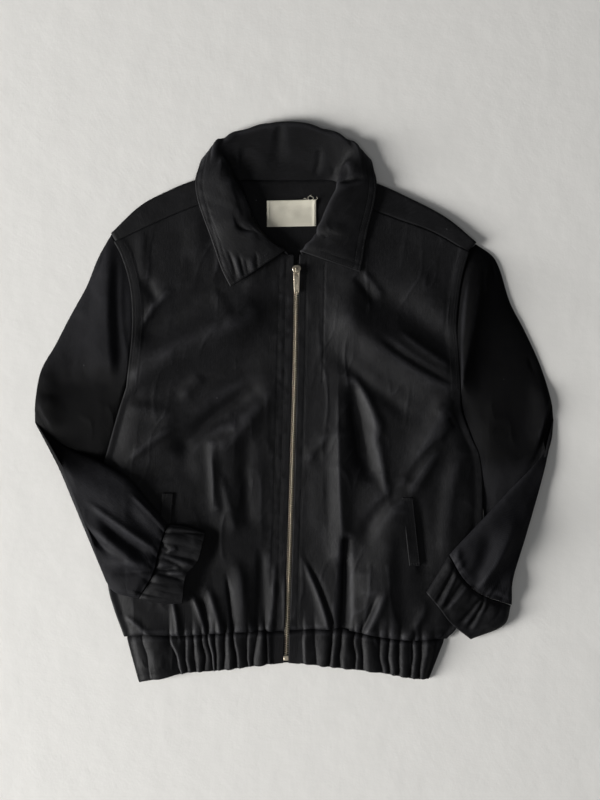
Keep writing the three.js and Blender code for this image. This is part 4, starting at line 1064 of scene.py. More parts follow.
# ---------------------------------------------------------------- sleeves and cuffs
SLEEVE_RING = 88  # cells across each layer
SLEEVE_ROWS = (86, 22, 76)  # upper arm, fold at the elbow and forearm
SLEEVE_TUCK = 0.6  # the sleeve starts this much below the front's felled edge
CUFF_RING = 84
CUFF_ROWS = 40
CUFF_GAP = 0.7


def ring_shares(cells):
    """Shares across a flattened tube, out along one layer and back along the other, closer together
    at its two folded edges; and which points are on the outer layer."""
    step = (1 - np.cos(np.pi * np.arange(cells + 1) / cells)) / 2
    s = np.concatenate([step, step[-2:0:-1]])
    outer = np.arange(len(s)) <= cells
    return s[None, :], outer[None, :]


def sleeve_sheet(side, cloth, sewing):
    table = SLEEVE[side]
    creases = SLEEVE_CREASES[side]
    depth = cloth.crease_depth
    away = np.array(table["away"])
    keys = ("outer", "crease", "forearm_top", "forearm_under", "cuff_seam")
    outer, crease, forearm_top, forearm_under, cuff_seam = (Outline(table[key]) for key in keys)
    armhole = Outline([BODY[side]["shoulder"][0]] + BODY[side]["armhole"][::-1])
    clear = np.array([np.sign(away[0]), 0.2]) * 1.1
    under = Outline([(x - np.sign(away[0]) * SLEEVE_TUCK, y) for x, y in table["under"]])
    s, is_outer = ring_shares(SLEEVE_RING)
    round_full, full = fullness(s), fullness(s, FOLDED_FULLNESS)
    elbow_puff, inner_radius = ELBOW[side]["puff"], ELBOW[side]["radius"]
    upper_rows, fold_rows, forearm_rows = SLEEVE_ROWS

    t = np.linspace(0, 0.93, upper_rows)[:, None]
    plan = mix(outer(t), under(t), s[..., None]) + sag(armhole, s) * ((1 - t) ** 2)[..., None]
    plan = plan + clear * (1 - smoothstep(t, 0, 0.3))[..., None] + sag(crease, s) * (t**3)[..., None]
    x, y = plan[..., 0], plan[..., 1]
    free = BACK_MIDDLE + mix(UPPER_PUFF, elbow_puff, smoothstep(t, 0.3, 0.93))
    upper_full = mix(round_full, full, smoothstep(t, 0.5, 0.93))
    head = mix(front_height(x, y), free, smoothstep(t, 0, 0.3)) - SLEEVE_TUCK * (1 - smoothstep(t, 0, 0.03))
    top_x, top_y = np.array(sorted(table["forearm_top"])).T
    open_air = smoothstep(y - np.interp(x, top_x, top_y), -6, 12)
    shown = upper_full * smoothstep(t, 0, 0.05) * (1 - smoothstep(t, mix(0.8, 0.88, open_air), 0.93))
    relief = folds_at(x, y, creases["upper"], depth)
    relief = relief + depth * (0.4 * crumple(x, y, 34, 61, 1.5) + 0.12 * crumple(x, y, 9, 63))
    relief = relief + depth * 0.4 * wrinkles(x, y, 19, 64, 1.6)
    inner_z = mix(BACK_MIDDLE, head, upper_full) + relief * shown
    least = BACK_MIDDLE + 1.6 * smoothstep(round_full, 0, 0.6)
    z = np.where(is_outer, BACK_MIDDLE, np.maximum(inner_z, least))
    upper = raised_to(plan, z)

    turn = np.linspace(0, 1, fold_rows)[:, None]
    plan = crease(s) + 0 * turn[..., None]
    fold_rest = BACK_MIDDLE + 1 + (elbow_puff + 2 * inner_radius - 1) * smoothstep(s, 0, 0.25)
    laid = fold_rest + 0 * turn
    puff = elbow_puff * full
    low = np.where(is_outer, BACK_MIDDLE, BACK_MIDDLE + puff)
    high = np.where(is_outer, laid + puff, laid)
    radius = (high - low) / 2
    plan = plan + away * (radius * mix(0.3, 0.8, full) * (np.sin(np.pi * turn) - 1))[..., None]
    z = mix(low, high, (1 - np.cos(np.pi * turn)) / 2)
    fold = raised_to(plan, z)

    t = np.linspace(0.07, 1, forearm_rows)[:, None]
    plan = mix(forearm_top(t), forearm_under(t), s[..., None])
    plan = plan + sag(crease, s) * ((1 - t) ** 3)[..., None] + sag(cuff_seam, s) * (t**2)[..., None]
    x, y = plan[..., 0], plan[..., 1]
    laid = mix(fold_rest, laid_height(x, y, cuff_rest(side, s)), smoothstep(t, 0, 0.7))
    to_seam = (1 - t) * np.linalg.norm(cuff_seam(s) - crease(s), axis=-1)
    relief = folds_at(x, y, creases["forearm"], depth)
    gathers = cuff_gathers(side, sewing)
    relief = relief + depth * 1.9 * gathers.puff(s * gathers.knots[-1], to_seam, reach=11)
    relief = relief - 1.6 * np.exp(-((to_seam / 4) ** 2))
    relief = relief + depth * (0.4 * crumple(x, y, 30, 65, 1.3) + 0.12 * crumple(x, y, 9, 67))
    relief = relief + depth * 0.4 * wrinkles(x, y, 18, 68, 1.6)
    relief = relief * full * smoothstep(t, 0.07, 0.2)
    swell = 1.6 * smoothstep(t, 0.2, 0.7) * (1 - smoothstep(t, 0.85, 1))
    raised = laid + (mix(elbow_puff, SLEEVE_PUFF, smoothstep(t, 0, 0.6)) + swell) * full + relief
    z = np.where(is_outer, np.maximum(raised, laid + 0.2 * full), laid)
    forearm = raised_to(plan, z)
    return Sheet(np.concatenate([upper, fold, forearm]), ring=True)


def cuff_gathers(side, sewing):
    length = Outline(SLEEVE[side]["cuff_seam"]).length
    seed = sewing.seed + (21 if side == "right" else 27)
    return Gathers(length, sewing.cuff_gather / MM, seed, lead=2, tail=2)


def cuff_sheet(side, cloth, sewing):
    table = SLEEVE[side]
    keys = ("cuff_top", "cuff_under", "cuff_seam", "cuff_opening")
    top, under, seam, opening = (Outline(table[key]) for key in keys)
    s, is_outer = ring_shares(CUFF_RING)
    t = np.linspace(0, 1, CUFF_ROWS + 1)[:, None]
    ends = np.array([0.0, 1.0])
    ahead = (top(ends)[1] + under(ends)[1]) - (top(ends)[0] + under(ends)[0])
    ahead /= np.linalg.norm(ahead)
    plan = mix(top(t), under(t), s[..., None]) + sag(seam, s) * ((1 - t) ** 2)[..., None]
    plan = plan + sag(opening, s) * (t**2)[..., None] + ahead * (CUFF_GAP * (1 - t))[..., None]
    x, y = plan[..., 0], plan[..., 1]
    full = fullness(s, FOLDED_FULLNESS)
    depth = cloth.crease_depth
    laid = laid_height(x, y, cuff_rest(side, s))
    gathers = cuff_gathers(side, sewing)
    relief = folds_at(x, y, CUFF_CREASES[side], depth)
    along = s * gathers.knots[-1]
    relief = relief + depth * 1.7 * gathers.puff(along) * (1 - 0.75 * smoothstep(t, 0, 0.8))
    relief = relief - 1.7 * np.exp(-((t / 0.09) ** 2)) - 0.5
    relief = relief + depth * 0.25 * crumple(x, y, 9, 71)
    puff = mix(SLEEVE_PUFF, CUFF_PUFF, t) * full
    z = np.where(is_outer, np.maximum(laid + puff + relief * full, laid + 0.35 * full), laid)
    lower = 0.35 * np.sin(np.pi * t) * (1 - full)
    return Sheet(raised_to(plan, z + lower), ring=True)


# ---------------------------------------------------------------- hem band
HEM_GRID = (210, 26)
HEM_SIDE_FLAT = 17  # mm beside the zip with no elastic in it
SEAM_LAP = 1.6  # the band runs this far under the cloth above it


def hem_front_sheet(side, cloth):
    table = BODY[side]
    half_opening = SIDEWARD[side] * ZIP_OPENING / 2
    below = BACK_WALL / 2 + SEAM_GAP
    head_y = table["hem_seam"][0][1] - below
    head = Outline(
        [(zip_x(head_y) + half_opening, head_y)]
        + [(x, y - below) for x, y in table["hem_seam"][1:-1]]
        + [table["hem_corner"]]
    )
    edge_y = table["hem_edge"][0][1]
    edge = Outline([(zip_x(edge_y) + half_opening, edge_y)] + table["hem_edge"][1:])
    u, v = grid(*HEM_GRID)
    length = Outline(table["hem_seam"]).length
    plan = mix(head(u), edge(u), v[..., None])
    sway = 1.6 * rumple(plan[..., 0], plan[..., 1], 15, 81)
    puff = hem_puffs(side, plan[..., 0] + sway, v)
    flat = smoothstep(u * length, HEM_SIDE_FLAT - 8, HEM_SIDE_FLAT) * (1 - smoothstep(u, 0.95, 1))
    tuck = (1 - puff) * flat
    plan[..., 1] += smoothstep(v, 0.6, 1) * tuck * 1.5 + SEAM_LAP * (1 - smoothstep(v, 0, 0.07))
    x, y = plan[..., 0], plan[..., 1]
    slope = 1 - smoothstep(u, 0.9, 1) * 0.5
    profile = np.sin(np.pi * mix(0.10, 0.93, v)) ** 0.6
    rise = cloth.crease_depth * flat * (3.0 * puff - 1.0) * mix(0.8, 1, profile)
    rise = rise - 2.2 * (1 - smoothstep(v, 0, 0.09))
    z = mix(FRONT_REST, FRONT_REST + 1.4, flat) * slope + 0.7 + rise + 1.3 * (profile - 0.6)
    z = z + flat * (0.15 * crumple(x, y, 7, 85) + 0.6 * wrinkles(x, y, 7, 86, 4))
    return Sheet(np.stack([x, y, np.maximum(z, 2.4)], axis=-1))


def hem_back_sheet():
    right, left = BODY["right"], BODY["left"]
    drop = 0.4
    across = right["hem_seam"][:-1][::-1] + left["hem_seam"][:-1]
    head = Outline([right["hem_corner"]] + [(x, y - drop) for x, y in across] + [left["hem_corner"]])
    edge = Outline(right["hem_edge"][::-1] + left["hem_edge"])
    u, v = grid(*HEM_BACK_GRID)
    plan = mix(head(u), edge(u), v[..., None])
    gathers = Gathers(HEM_BACK_LENGTH, HEM_BACK_PITCH, HEM_BACK_SEED, lead=4, tail=4)
    z = 0.8 + gathers.puff(u * HEM_BACK_LENGTH) * np.sin(np.pi * mix(0.05, 0.95, v))
    return Sheet(raised_to(plan, z))


# ---------------------------------------------------------------- collar
COLLAR_SPAN_ROWS = 9
COLLAR_ACROSS = 60
COLLAR_STITCH_LINES = (1.8, 7.2)
# Folds of the collar, with rows like those of FRONT_CREASES, on its fall and on the inside of its stand.
COLLAR_FOLDS = {
    "fall": [
        (-88, 196, -68, 120, 0, 1.5, 1.8, -0.4, 0.5), (-66, 150, -58, 122, 1, 1.6, 2, -0.9, 0.4),
        (-60, 146, -53, 123, 0, 1.6, 2, 0.7, 0.4), (-55, 146, -50, 124, 0, 1.4, 1.8, -1.0, 0.4),
        (-49, 142, -46, 126, 0, 1.4, 2, -0.7, 0.4), (-44, 143, -41, 129, 0, 1.6, 2.2, 0.7, 0.4),
        (-38, 148, -37, 132, 0, 1.4, 1.8, -1.0, 0.4), (-30, 155, -28, 139, 0, 1.2, 1.6, -1.3, 0.6),
        (-59, 176, -36, 169, -2, 2.6, 1.6, -1.4, 0.4), (44, 216, 68, 222, 0, 1.4, 2.4, -1.6, 0.3),
        (26, 180, 36, 170, 0, 1.2, 2.2, 0.6, 0.5), (24, 170, 32, 162, 0, 1.2, 2.2, -0.6, 0.5),
        (14, 152, 24, 145, 0, 1.6, 2.2, 0.6, 0.4),
    ],
    "stand": [
        (-15, 279, -18, 236, 0, 2, 10, -1.3, 0.3), (-62, 258, -38, 228, -2, 8, 10, -1.6, 0),
        (25, 254, 21, 226, 1, 1.6, 3, -0.9, 0.3), (46, 264, 40, 226, 1, 1.6, 3.4, -2.4, 0.4),
        (58, 254, 50, 236, 0, 1.6, 2.4, -1.8, 0.4),
    ],
}


def rows_through(sections, per_span):
    """Rows of points on smooth curves through sections given as rows."""
    p = np.concatenate([2 * sections[:1] - sections[1:2], sections, 2 * sections[-1:] - sections[-2:-1]])
    rows = []
    for k in range(1, len(p) - 2):
        ends = per_span + (1 if k == len(p) - 3 else 0)
        for t in np.arange(ends) / per_span:
            a, b, c, d = p[k - 1 : k + 3]
            rows.append(0.5 * (
                2 * b + (c - a) * t + (2 * a - 5 * b + 4 * c - d) * t**2 + (3 * b - a - 3 * c + d) * t**3
            ))
    return np.array(rows)


def collar_sheet(cloth):
    sections = []
    for row in COLLAR_SECTIONS:
        at = dict(zip(COLLAR_COLUMNS, row))

        def clear(x, y, gap):
            if y >= SHOULDER_TOP:
                return 0.0
            return float(front_height(np.array([x], float), np.array([y], float))[0]) + BACK_WALL + gap

        inside = at["nx"] > at["rx"] and at["ny"] < SHOULDER_TOP and at["nx"] < 0
        floor = 0 if inside else clear(at["nx"], at["ny"], SEAM_GAP)
        n = np.array([at["nx"], at["ny"], max(at["neck"], floor)])
        r = np.array([at["rx"], at["ry"], at["roll"]])
        f = np.array([at["fx"], at["fy"], max(at["edge"], clear(at["fx"], at["fy"], 0.8))])
        stand = mix(n, r, 0.25 if inside else 0.6)
        stand[2] = at["stand"]
        turned = mix(r, f, 0.09)
        turned[2] = at["turn"]
        fall = mix(turned, f, 0.45)
        fall[2] += 0.8 if at["edge"] > BACK_MIDDLE else 0
        path = centripetal([n, stand, r, turned, fall, f], 14)
        run = run_along(path)
        sections.append(read_at(np.linspace(0, run[-1], COLLAR_ACROSS + 1), run, path))
    sheet = Sheet(rows_through(np.array(sections), COLLAR_SPAN_ROWS))
    rows = len(sheet.points)
    around = np.linspace(0, 1, rows)[:, None]
    from_edge = sheet.u_run[:, -1:] - sheet.u_run
    from_end = np.minimum(sheet.v_run, sheet.v_run[-1:] - sheet.v_run)
    over = 1 - smoothstep(from_edge, 37, 46)
    round_mm = around * sheet.v_run[-1, -8]
    x, y = sheet.points[..., 0], sheet.points[..., 1]
    relief = folds_at(x, y, COLLAR_FOLDS["fall"]) * over
    relief += 0.45 * crumple(round_mm, from_edge, 22, 101, 1.6) * over
    relief += 0.22 * rumple(round_mm, from_edge, 5.5, 103) * (1 - smoothstep(from_edge, 7, 12)) * over
    for line in COLLAR_STITCH_LINES:
        dip = seam_groove(from_edge - line, 0.8, 0.26) + seam_groove(from_end - line, 0.8, 0.26)
        relief += dip * over
    facing = np.sign(sheet.normals[..., 2].mean())
    sheet.points[..., 2] += (
        cloth.crease_depth * folds_at(x, y, COLLAR_FOLDS["stand"]) * smoothstep(from_edge, 48, 58)
    )
    sheet.lift(relief * cloth.crease_depth * facing)
    return sheet


def inset_rows(sheet, distance):
    """A row of points round the outer edge and both ends of the collar, inside it by a distance."""
    columns = np.arange(sheet.points.shape[1])
    rows = np.arange(sheet.points.shape[0])
    line_rows, line_columns = [], []
    edge_column = np.array([np.interp(run[-1] - distance, run, columns) for run in sheet.u_run])
    start = np.array([np.interp(distance, run, rows) for run in sheet.v_run.T])
    last = np.array([np.interp(run[-1] - distance, run, rows) for run in sheet.v_run.T])
    first_column = int(0.30 * len(columns))
    for column in range(first_column, int(edge_column[0])):
        line_rows.append(start[column])
        line_columns.append(column)
    for row in range(int(start[-1]) + 1, int(last[-1])):
        line_rows.append(row)
        line_columns.append(edge_column[row])
    for column in range(int(edge_column[-1]), first_column, -1):
        line_rows.append(last[column])
        line_columns.append(column)
    return sheet.at(np.array(line_rows), np.array(line_columns))


# ---------------------------------------------------------------- welts and neck label
WELT = {
    "left": {"head": (112.5, -96), "foot": (120, -164)},
    "right": {"head": (-126, -92), "foot": (-132, -160)},
}
WELT_WIDTH = 12
LABEL = {"x": -3, "y": 187.5, "width": 49, "height": 26, "lean": 0.02}
# Loose threads, along x and y from the label's upper end to the wearer's left, and their heights.
LOOSE_THREADS = [
    [(-7, -1, 4.4), (-8, 2.5, 5.6), (-4.5, 5, 6)],
    [(-5, -0.6, 4.4), (-2.5, 2, 6), (-6.5, 4.4, 6.4)],
    [(-9, -0.6, 4.4), (-11, 1.8, 5.4), (-12.6, 1, 5)],
    [(-1, -0.4, 4.8), (1.4, 1.6, 5.4), (0.6, 3, 5.6)],
]
THREAD_RADIUS = 0.16


def welt_sheet(side):
    (head_x, head_y), (foot_x, foot_y) = WELT[side]["head"], WELT[side]["foot"]
    u, v = grid(18, 90)
    x = mix(head_x, foot_x, v) + (u - 0.5) * (WELT_WIDTH - 1.2)
    y = mix(head_y, foot_y, v)
    cloth_top = front_height(x, y) + BACK_WALL / 2 + SEAM_GAP + 0.4 + TRIM / 2
    mouth = 1 - u
    gape = 0.9 * mouth**2 * np.sin(np.pi * np.clip(v, 0, 1)) ** 0.8
    z = cloth_top + gape + 0.2 * (1 - (2 * u - 1) ** 4) + 0.16 * rumple(x, y, 6, 111)
    return Sheet(np.stack([x, y, z], axis=-1), plan_grain=True)


def label_sheet():
    u, v = grid(80, 44)
    across, up = (u - 0.5) * LABEL["width"], (v - 0.5) * LABEL["height"]
    x, y = LABEL["x"] + across, LABEL["y"] + up + across * LABEL["lean"]
    fold_back = 0.35 * np.exp(-(((np.abs(2 * u - 1) - 0.93) / 0.05) ** 2))
    z = BACK_WALL + SEAM_GAP + TRIM / 2 + fold_back + 0.35 * crumple(across, up, 15, 121)
    curl = 1.5 * smoothstep(v, 0.55, 1) ** 2 * (0.4 + 0.6 * u)
    return Sheet(np.stack([x, y, z + curl], axis=-1))


# ---------------------------------------------------------------- zip
STOP_LENGTH = 5
STOP_ROUND = 0.9
TOOTH = {"length": 2.75, "width": 1.25, "height": 2.1}
SLIDER = {"y": 130, "length": 11, "width": 8.6, "neck": 6, "plate": 1.3}
TAB = {"length": 24, "width": 6.6, "end": 5, "thickness": 1.3, "slot_width": 3, "slot_length": 4.6}
TAB_DROP = math.radians(5)


def tape_sheet(side, low, high):
    """One tape's middle surface: it lies under its front's folded edge, with a bead at its inner edge."""
    rows = int(high - low)
    u, v = grid(14, rows - 1)
    y = mix(low, high, v)
    x = zip_x(y) + SIDEWARD[side] * mix(0.35, TAPE_WIDTH - 0.2, u)
    bead = 0.25 * np.exp(-((u / 0.08) ** 2))
    z = BACK_WALL + SEAM_GAP + TRIM / 2 + 0.1 + bead + 0.08 * rumple(x, y, 7, 131)
    return Sheet(np.stack([x, y, z], axis=-1), plan_grain=True)


def tooth_shape():
    """One tooth about its own middle: a bar with rounded edges, narrow where it grips the tape and with
    a dimple before its rounded head. Rings of eight points along +X."""
    stations = np.array([-0.5, -0.42, -0.1, 0.1, 0.3, 0.44, 0.5]) * TOOTH["length"]
    breadth = np.array([0.62, 0.72, 0.74, 0.62, 0.98, 0.9, 0.5]) * TOOTH["width"] / 2
    height = np.array([0.8, 0.98, 1.0, 0.8, 1.0, 0.92, 0.55]) * TOOTH["height"] / 2
    angles = (np.arange(8) + 0.5) * np.pi / 4
    corner = 1 / max(np.cos(np.pi / 8), 1e-6)
    y = np.sign(np.cos(angles)) * np.abs(np.cos(angles)) ** 0.55 * corner
    z = np.sign(np.sin(angles)) * np.abs(np.sin(angles)) ** 0.55 * corner
    return np.stack(
        [np.stack([np.full(8, x), y * b, z * h], axis=-1) for x, b, h in zip(stations, breadth, height)]
    )


def zip_teeth(material, pitch):
    """Both rows of teeth as one joined mesh, meshed from the bottom stop up to the slider."""
    low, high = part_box("zip_teeth")
    middle_z = (low.z + high.z) / 2 / MM
    shape = tooth_shape()
    stations, sides = shape.shape[:2]
    index = np.arange(stations * sides).reshape(stations, sides)
    tooth_faces = [quads_round(index)]
    for ring, order in ((index[0], -1), (index[-1], 1)):
        caps = np.array([[ring[0], ring[1], ring[2], ring[3]], [ring[0], ring[3], ring[4], ring[7]],
                         [ring[4], ring[5], ring[6], ring[7]]])
        tooth_faces.append(caps[:, ::order])
    tooth_faces = np.concatenate(tooth_faces)
    points, faces = [], []
    count = int((high.y - low.y) / MM / pitch * 2) - 1
    for k in range(count):
        y = low.y / MM + TOOTH["width"] / 2 + k * pitch / 2
        sideward = 1 if k % 2 else -1
        tooth = shape * np.array([-sideward, 1, 1])
        order = 1 if sideward < 0 else -1
        at = np.array([zip_x(y) + sideward * 0.92, y, middle_z])
        faces.append(tooth_faces[:, ::order] + len(points) * stations * sides)
        points.append((tooth + at).reshape(-1, 3))
    return paint(new_mesh("teeth", np.concatenate(points), np.concatenate(faces)), material)


def prism(name, outlines, low, high, bevel, material):
    """A plate between two heights from an outline and its holes, in mm, with its edges rounded."""
    curve = bpy.data.curves.new(name, "CURVE")
    curve.dimensions = "2D"
    curve.fill_mode = "BOTH"
    curve.extrude = ((high - low) / 2 - bevel) * MM
    curve.bevel_depth = bevel * MM
    curve.bevel_resolution = 3
    curve.offset = -bevel * MM
    for outline in outlines:
        spline = curve.splines.new("POLY")
        spline.points.add(len(outline) - 1)
        for point, (x, y) in zip(spline.points, outline):
            point.co = (x * MM, y * MM, 0, 1)
        spline.use_cyclic_u = True
    drawn = linked(name, curve)
    bpy.context.view_layer.update()
    mesh = bpy.data.meshes.new_from_object(drawn.evaluated_get(bpy.context.evaluated_depsgraph_get()))
    bpy.data.objects.remove(drawn)
    piece = linked(name, mesh)
    for vertex in mesh.vertices:
        vertex.co.z += (low + high) / 2 * MM
    welded(mesh)
    return paint(piece, material)


def welded(mesh):
    """Merges the doubled vertices of a mesh and turns its faces outwards."""
    work = bmesh.new()
    work.from_mesh(mesh)
    bmesh.ops.remove_doubles(work, verts=work.verts, dist=0.004 * MM)
    bmesh.ops.recalc_face_normals(work, faces=work.faces)
    for face in work.faces:
        face.smooth = True
    work.to_mesh(mesh)
    work.free()
    mesh.set_sharp_from_angle(angle=math.radians(40))


def moved(piece, matrix):
    piece.data.transform(matrix)
    piece.data.update()
    return piece


def as_one(name, pieces):
    """Several meshes joined into one piece."""
    work = bmesh.new()
    for piece in pieces:
        work.from_mesh(piece.data)
    mesh = bpy.data.meshes.new(name)
    work.to_mesh(mesh)
    work.free()
    mesh.materials.append(pieces[0].data.materials[0])
    for piece in pieces:
        bpy.data.objects.remove(piece)
    mesh.set_sharp_from_angle(angle=math.radians(40))
    return linked(name, mesh)


def arc(x, y, radius, start, end, steps):
    angles = np.radians(np.linspace(start, end, steps))
    return [(x + radius * math.cos(a), y + radius * math.sin(a)) for a in angles]


def zip_slider(material):
    """The slider: a shield-shaped plate with a raised ridge down its middle and an arched bail for the tab.
    """
    low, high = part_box("zip_slider")
    plate_top = low.z / MM + SLIDER["plate"]
    wide, narrow, end = SLIDER["width"] / 2, SLIDER["neck"] / 2, SLIDER["length"] / 2
    edge = centripetal(
        [(-narrow, -end), (-narrow - 0.15, -end * 0.2), (-wide, end * 0.45), (-wide * 0.72, end * 0.86),
         (0, end), (wide * 0.72, end * 0.86), (wide, end * 0.45), (narrow + 0.15, -end * 0.2),
         (narrow, -end)], 6)
    plate = prism("slider_plate", [edge], low.z / MM, plate_top, 0.35, material)
    ridge_outline = [(-0.9, -3.6), (0.9, -3.6), (1.3, 3.4), (-1.3, 3.4)]
    ridge = prism("slider_ridge", [ridge_outline], plate_top - 0.3, plate_top + 0.35, 0.2, material)
    top = high.z / MM - plate_top
    foot = 2.7
    arch = [(-foot, -0.5), (-foot, top - 1.6)] + arc(-foot + 1.6, top - 1.6, 1.6, 180, 90, 7)[1:]
    arch += arc(foot - 1.6, top - 1.6, 1.6, 90, 0, 7) + [(foot, -0.5)]
    inner = [(foot - 1.1, -0.5), (foot - 1.1, top - 1.5)] + arc(foot - 1.8, top - 1.8, 0.7, 0, 90, 5)
    inner += arc(-foot + 1.8, top - 1.8, 0.7, 90, 180, 5) + [(-foot + 1.1, top - 1.5), (-foot + 1.1, -0.5)]
    bail = prism("slider_bail", [arch + inner], -1.1, 1.1, 0.3, material)
    stand = Matrix.Rotation(math.pi / 2, 4, "Z") @ Matrix.Rotation(math.pi / 2, 4, "X")
    moved(bail, Matrix.Translation((0, 0, plate_top * MM)) @ stand)
    piece = as_one("slider", [plate, ridge, bail])
    middle = Vector((zip_x(SLIDER["y"]) * MM, SLIDER["y"] * MM, 0))
    return moved(piece, Matrix.Translation(middle))


def pull_tab(material):
    """The pull tab: a tapered plate with rounded edges, a slot for the bail and a small hole at its end."""
    pivot = Vector(frame["joints"][0]["pos_m"])
    bar = TAB["thickness"] / 2
    head, tail = TAB["width"] / 2, TAB["end"] / 2
    foot = bar - TAB["length"] + tail
    outline = [(-head + 0.8, bar), (head - 0.8, bar)] + arc(head - 0.8, bar - 0.8, 0.8, 80, 0, 5)
    outline += [(tail, foot)] + arc(0, foot, tail, 0, -180, 17)[1:] + [(-head, bar - 0.8)]
    outline += arc(-head + 0.8, bar - 0.8, 0.8, 170, 100, 4)
    half = TAB["slot_width"] / 2 + 0.3
    slot_end = -bar - TAB["slot_length"]
    slot = [(-half, -bar), (-half, slot_end), (half, slot_end), (half, -bar)]
    hole = arc(0, foot, 1.0 + 0.3, 0, 342, 20)
    plate = prism("tab_plate", [outline, slot, hole], -bar, bar, 0.3, material)
    moved(plate, Matrix.Translation(pivot) @ Matrix.Rotation(TAB_DROP, 4, "X"))
    plate.name = "tab"
    return plate


# ---------------------------------------------------------------- materials
class Nodes:
    """A material's node tree, built one node at a time."""

    def __init__(self, name):
        self.material = bpy.data.materials.new(name)
        self.material.use_nodes = True
        self.tree = self.material.node_tree
        self.tree.nodes.clear()
        self.output = self.tree.nodes.new("ShaderNodeOutputMaterial")
        self.shader = self.tree.nodes.new("ShaderNodeBsdfPrincipled")
        self.link(self.shader.outputs["BSDF"], self.output.inputs["Surface"])

    def link(self, source, target):
        self.tree.links.new(source, target)

    def add(self, kind, **settings):
        node = self.tree.nodes.new(kind)
        for key, value in settings.items():
            setattr(node, key, value)
        return node

    def fill(self, node, values):
        for key, value in values.items():
            if isinstance(value, bpy.types.NodeSocket):
                self.link(value, node.inputs[key])
            else:
                node.inputs[key].default_value = value
        return node

    def math(self, operation, a, b=0.0, clamp=False):
        node = self.fill(self.add("ShaderNodeMath", operation=operation, use_clamp=clamp), {0: a, 1: b})
        return node.outputs[0]

    def plus(self, a, b, clamp=False):
        return self.math("ADD", a, b, clamp)

    def times(self, a, b):
        return self.math("MULTIPLY", a, b)

    def lengths(self):
        """The lengths along the cloth, in metres."""
        return self.add("ShaderNodeUVMap", uv_map="cloth").outputs["UV"]

    def ribs(self, vector, pitch, direction="X", **values):
        """Ribs of the weave, a pitch in metres apart."""
        bands = {"wave_type": "BANDS", "bands_direction": direction, "wave_profile": "SIN"}
        node = self.add("ShaderNodeTexWave", **bands)
        self.fill(node, {"Vector": vector, "Scale": RIB_SCALE / pitch, **values})
        return node.outputs["Fac"]

    def surface(self, values):
        """The material with these values on its shader."""
        self.fill(self.shader, values)
        return self.material

    def placed(self, vector, scale=(1, 1, 1), turn=0.0):
        node = self.add("ShaderNodeMapping")
        self.fill(node, {"Vector": vector, "Scale": scale, "Rotation": (0, 0, turn)})
        return node.outputs["Vector"]

    def noise(self, vector, scale, detail=2.0, roughness=0.5):
        node = self.add("ShaderNodeTexNoise")
        self.fill(node, {"Vector": vector, "Scale": scale, "Detail": detail, "Roughness": roughness})
        return node.outputs["Fac"]

    def span(self, value, low, high):
        node = self.add("ShaderNodeMapRange", interpolation_type="SMOOTHSTEP")
        self.fill(node, {"Value": value, "From Min": low, "From Max": high})
        return node.outputs["Result"]

    def blend(self, factor, a, b):
        node = self.add("ShaderNodeMix", data_type="RGBA")
        self.fill(node, {"Factor": factor, 6: a, 7: b})
        return node.outputs[2]

    def bump(self, height, distance, strength=1.0):
        node = self.add("ShaderNodeBump")
        self.fill(node, {"Height": height, "Distance": distance, "Strength": strength})
        return node.outputs["Normal"]


RIB_SCALE = 0.3142  # what a wave's scale times its pitch comes to
TWILL_TURN = math.radians(-32)


def rgba(color, share=1.0):
    return tuple(channel * share for channel in color) + (1.0,)


def shaded_sleeve_denim(cloth):
    """The denim made darker and duller for the sleeves: a shaded copy of the body's denim, painted shade
    like the darkened stretch of each arm.
    """
    return denim(cloth, "black_denim_shaded_sleeve", SHADED_SLEEVE_GLOSS)


def denim(cloth, name="black_denim", gloss=BODY_GLOSS):
    """Black denim: steep diagonal ribs, uneven yarns, rubbed ridges and stray lint. Where the wear value is
    below 0 it is darkened: painted shade."""
    n = Nodes(name)
    uv = n.lengths()
    steep = n.placed(uv, turn=TWILL_TURN)
    ribs = n.ribs(steep, cloth.twill_pitch, Distortion=1.2, Detail=2.0, **{"Detail Scale": 1.4})
    yarn = n.noise(n.placed(uv, (1, 0.35, 1)), 2600, 2.0, 0.6)
    slub = n.noise(n.placed(uv, (1, 0.06, 1)), 520, 3.0, 0.6)
    patchy = n.noise(uv, 34, 3.0, 0.55)
    wear_and_shade_fac = n.add("ShaderNodeAttribute", attribute_name="wear_and_shade").outputs["Fac"]
    rubbed = n.times(wear_and_shade_fac, n.span(yarn, 0.32, 0.62))
    fleck = n.times(n.span(slub, 0.52, 0.86), 0.28)
    cloudy = n.times(n.span(patchy, 0.3, 0.75), 0.16)
    grain = n.noise(n.placed(uv, (1, 0.3, 1)), 620, 3.0, 0.7)
    mottled = n.times(n.span(grain, 0.36, 0.66), 0.16)
    pale = n.plus(n.plus(rubbed, mottled), n.plus(fleck, cloudy), clamp=True)
    color = n.blend(pale, rgba(cloth.color), rgba(cloth.worn_color))
    dots = n.add("ShaderNodeTexVoronoi", feature="F1")
    n.fill(dots, {"Vector": uv, "Scale": 78.0, "Randomness": 1.0})
    chosen = n.math("GREATER_THAN", n.noise(n.placed(uv), 61, 0.0), 0.615)
    near = n.math("LESS_THAN", dots.outputs["Distance"], 0.030)
    lint = n.times(n.times(near, chosen), 0.75)
    color = n.blend(lint, color, (0.21, 0.21, 0.215, 1.0))
    # Painted shade: a wear value below 0 blends the colour towards a third of the cloth colour.
    unshaded_share = n.plus(wear_and_shade_fac, 1.0, clamp=True)
    color = n.blend(unshaded_share, rgba(cloth.color, 0.3), color)
    dullness = n.plus(n.times(mottled, 0.5), 0.525)
    relief = n.plus(n.times(ribs, 0.55), n.times(yarn, 0.45))
    relief = n.plus(relief, n.times(slub, 0.5))
    relief = n.plus(relief, n.times(grain, 1.5))
    return n.surface({
        "Base Color": color, "Roughness": dullness, "Specular IOR Level": gloss,
        "Normal": n.bump(relief, 0.00013, 1.0),
    })


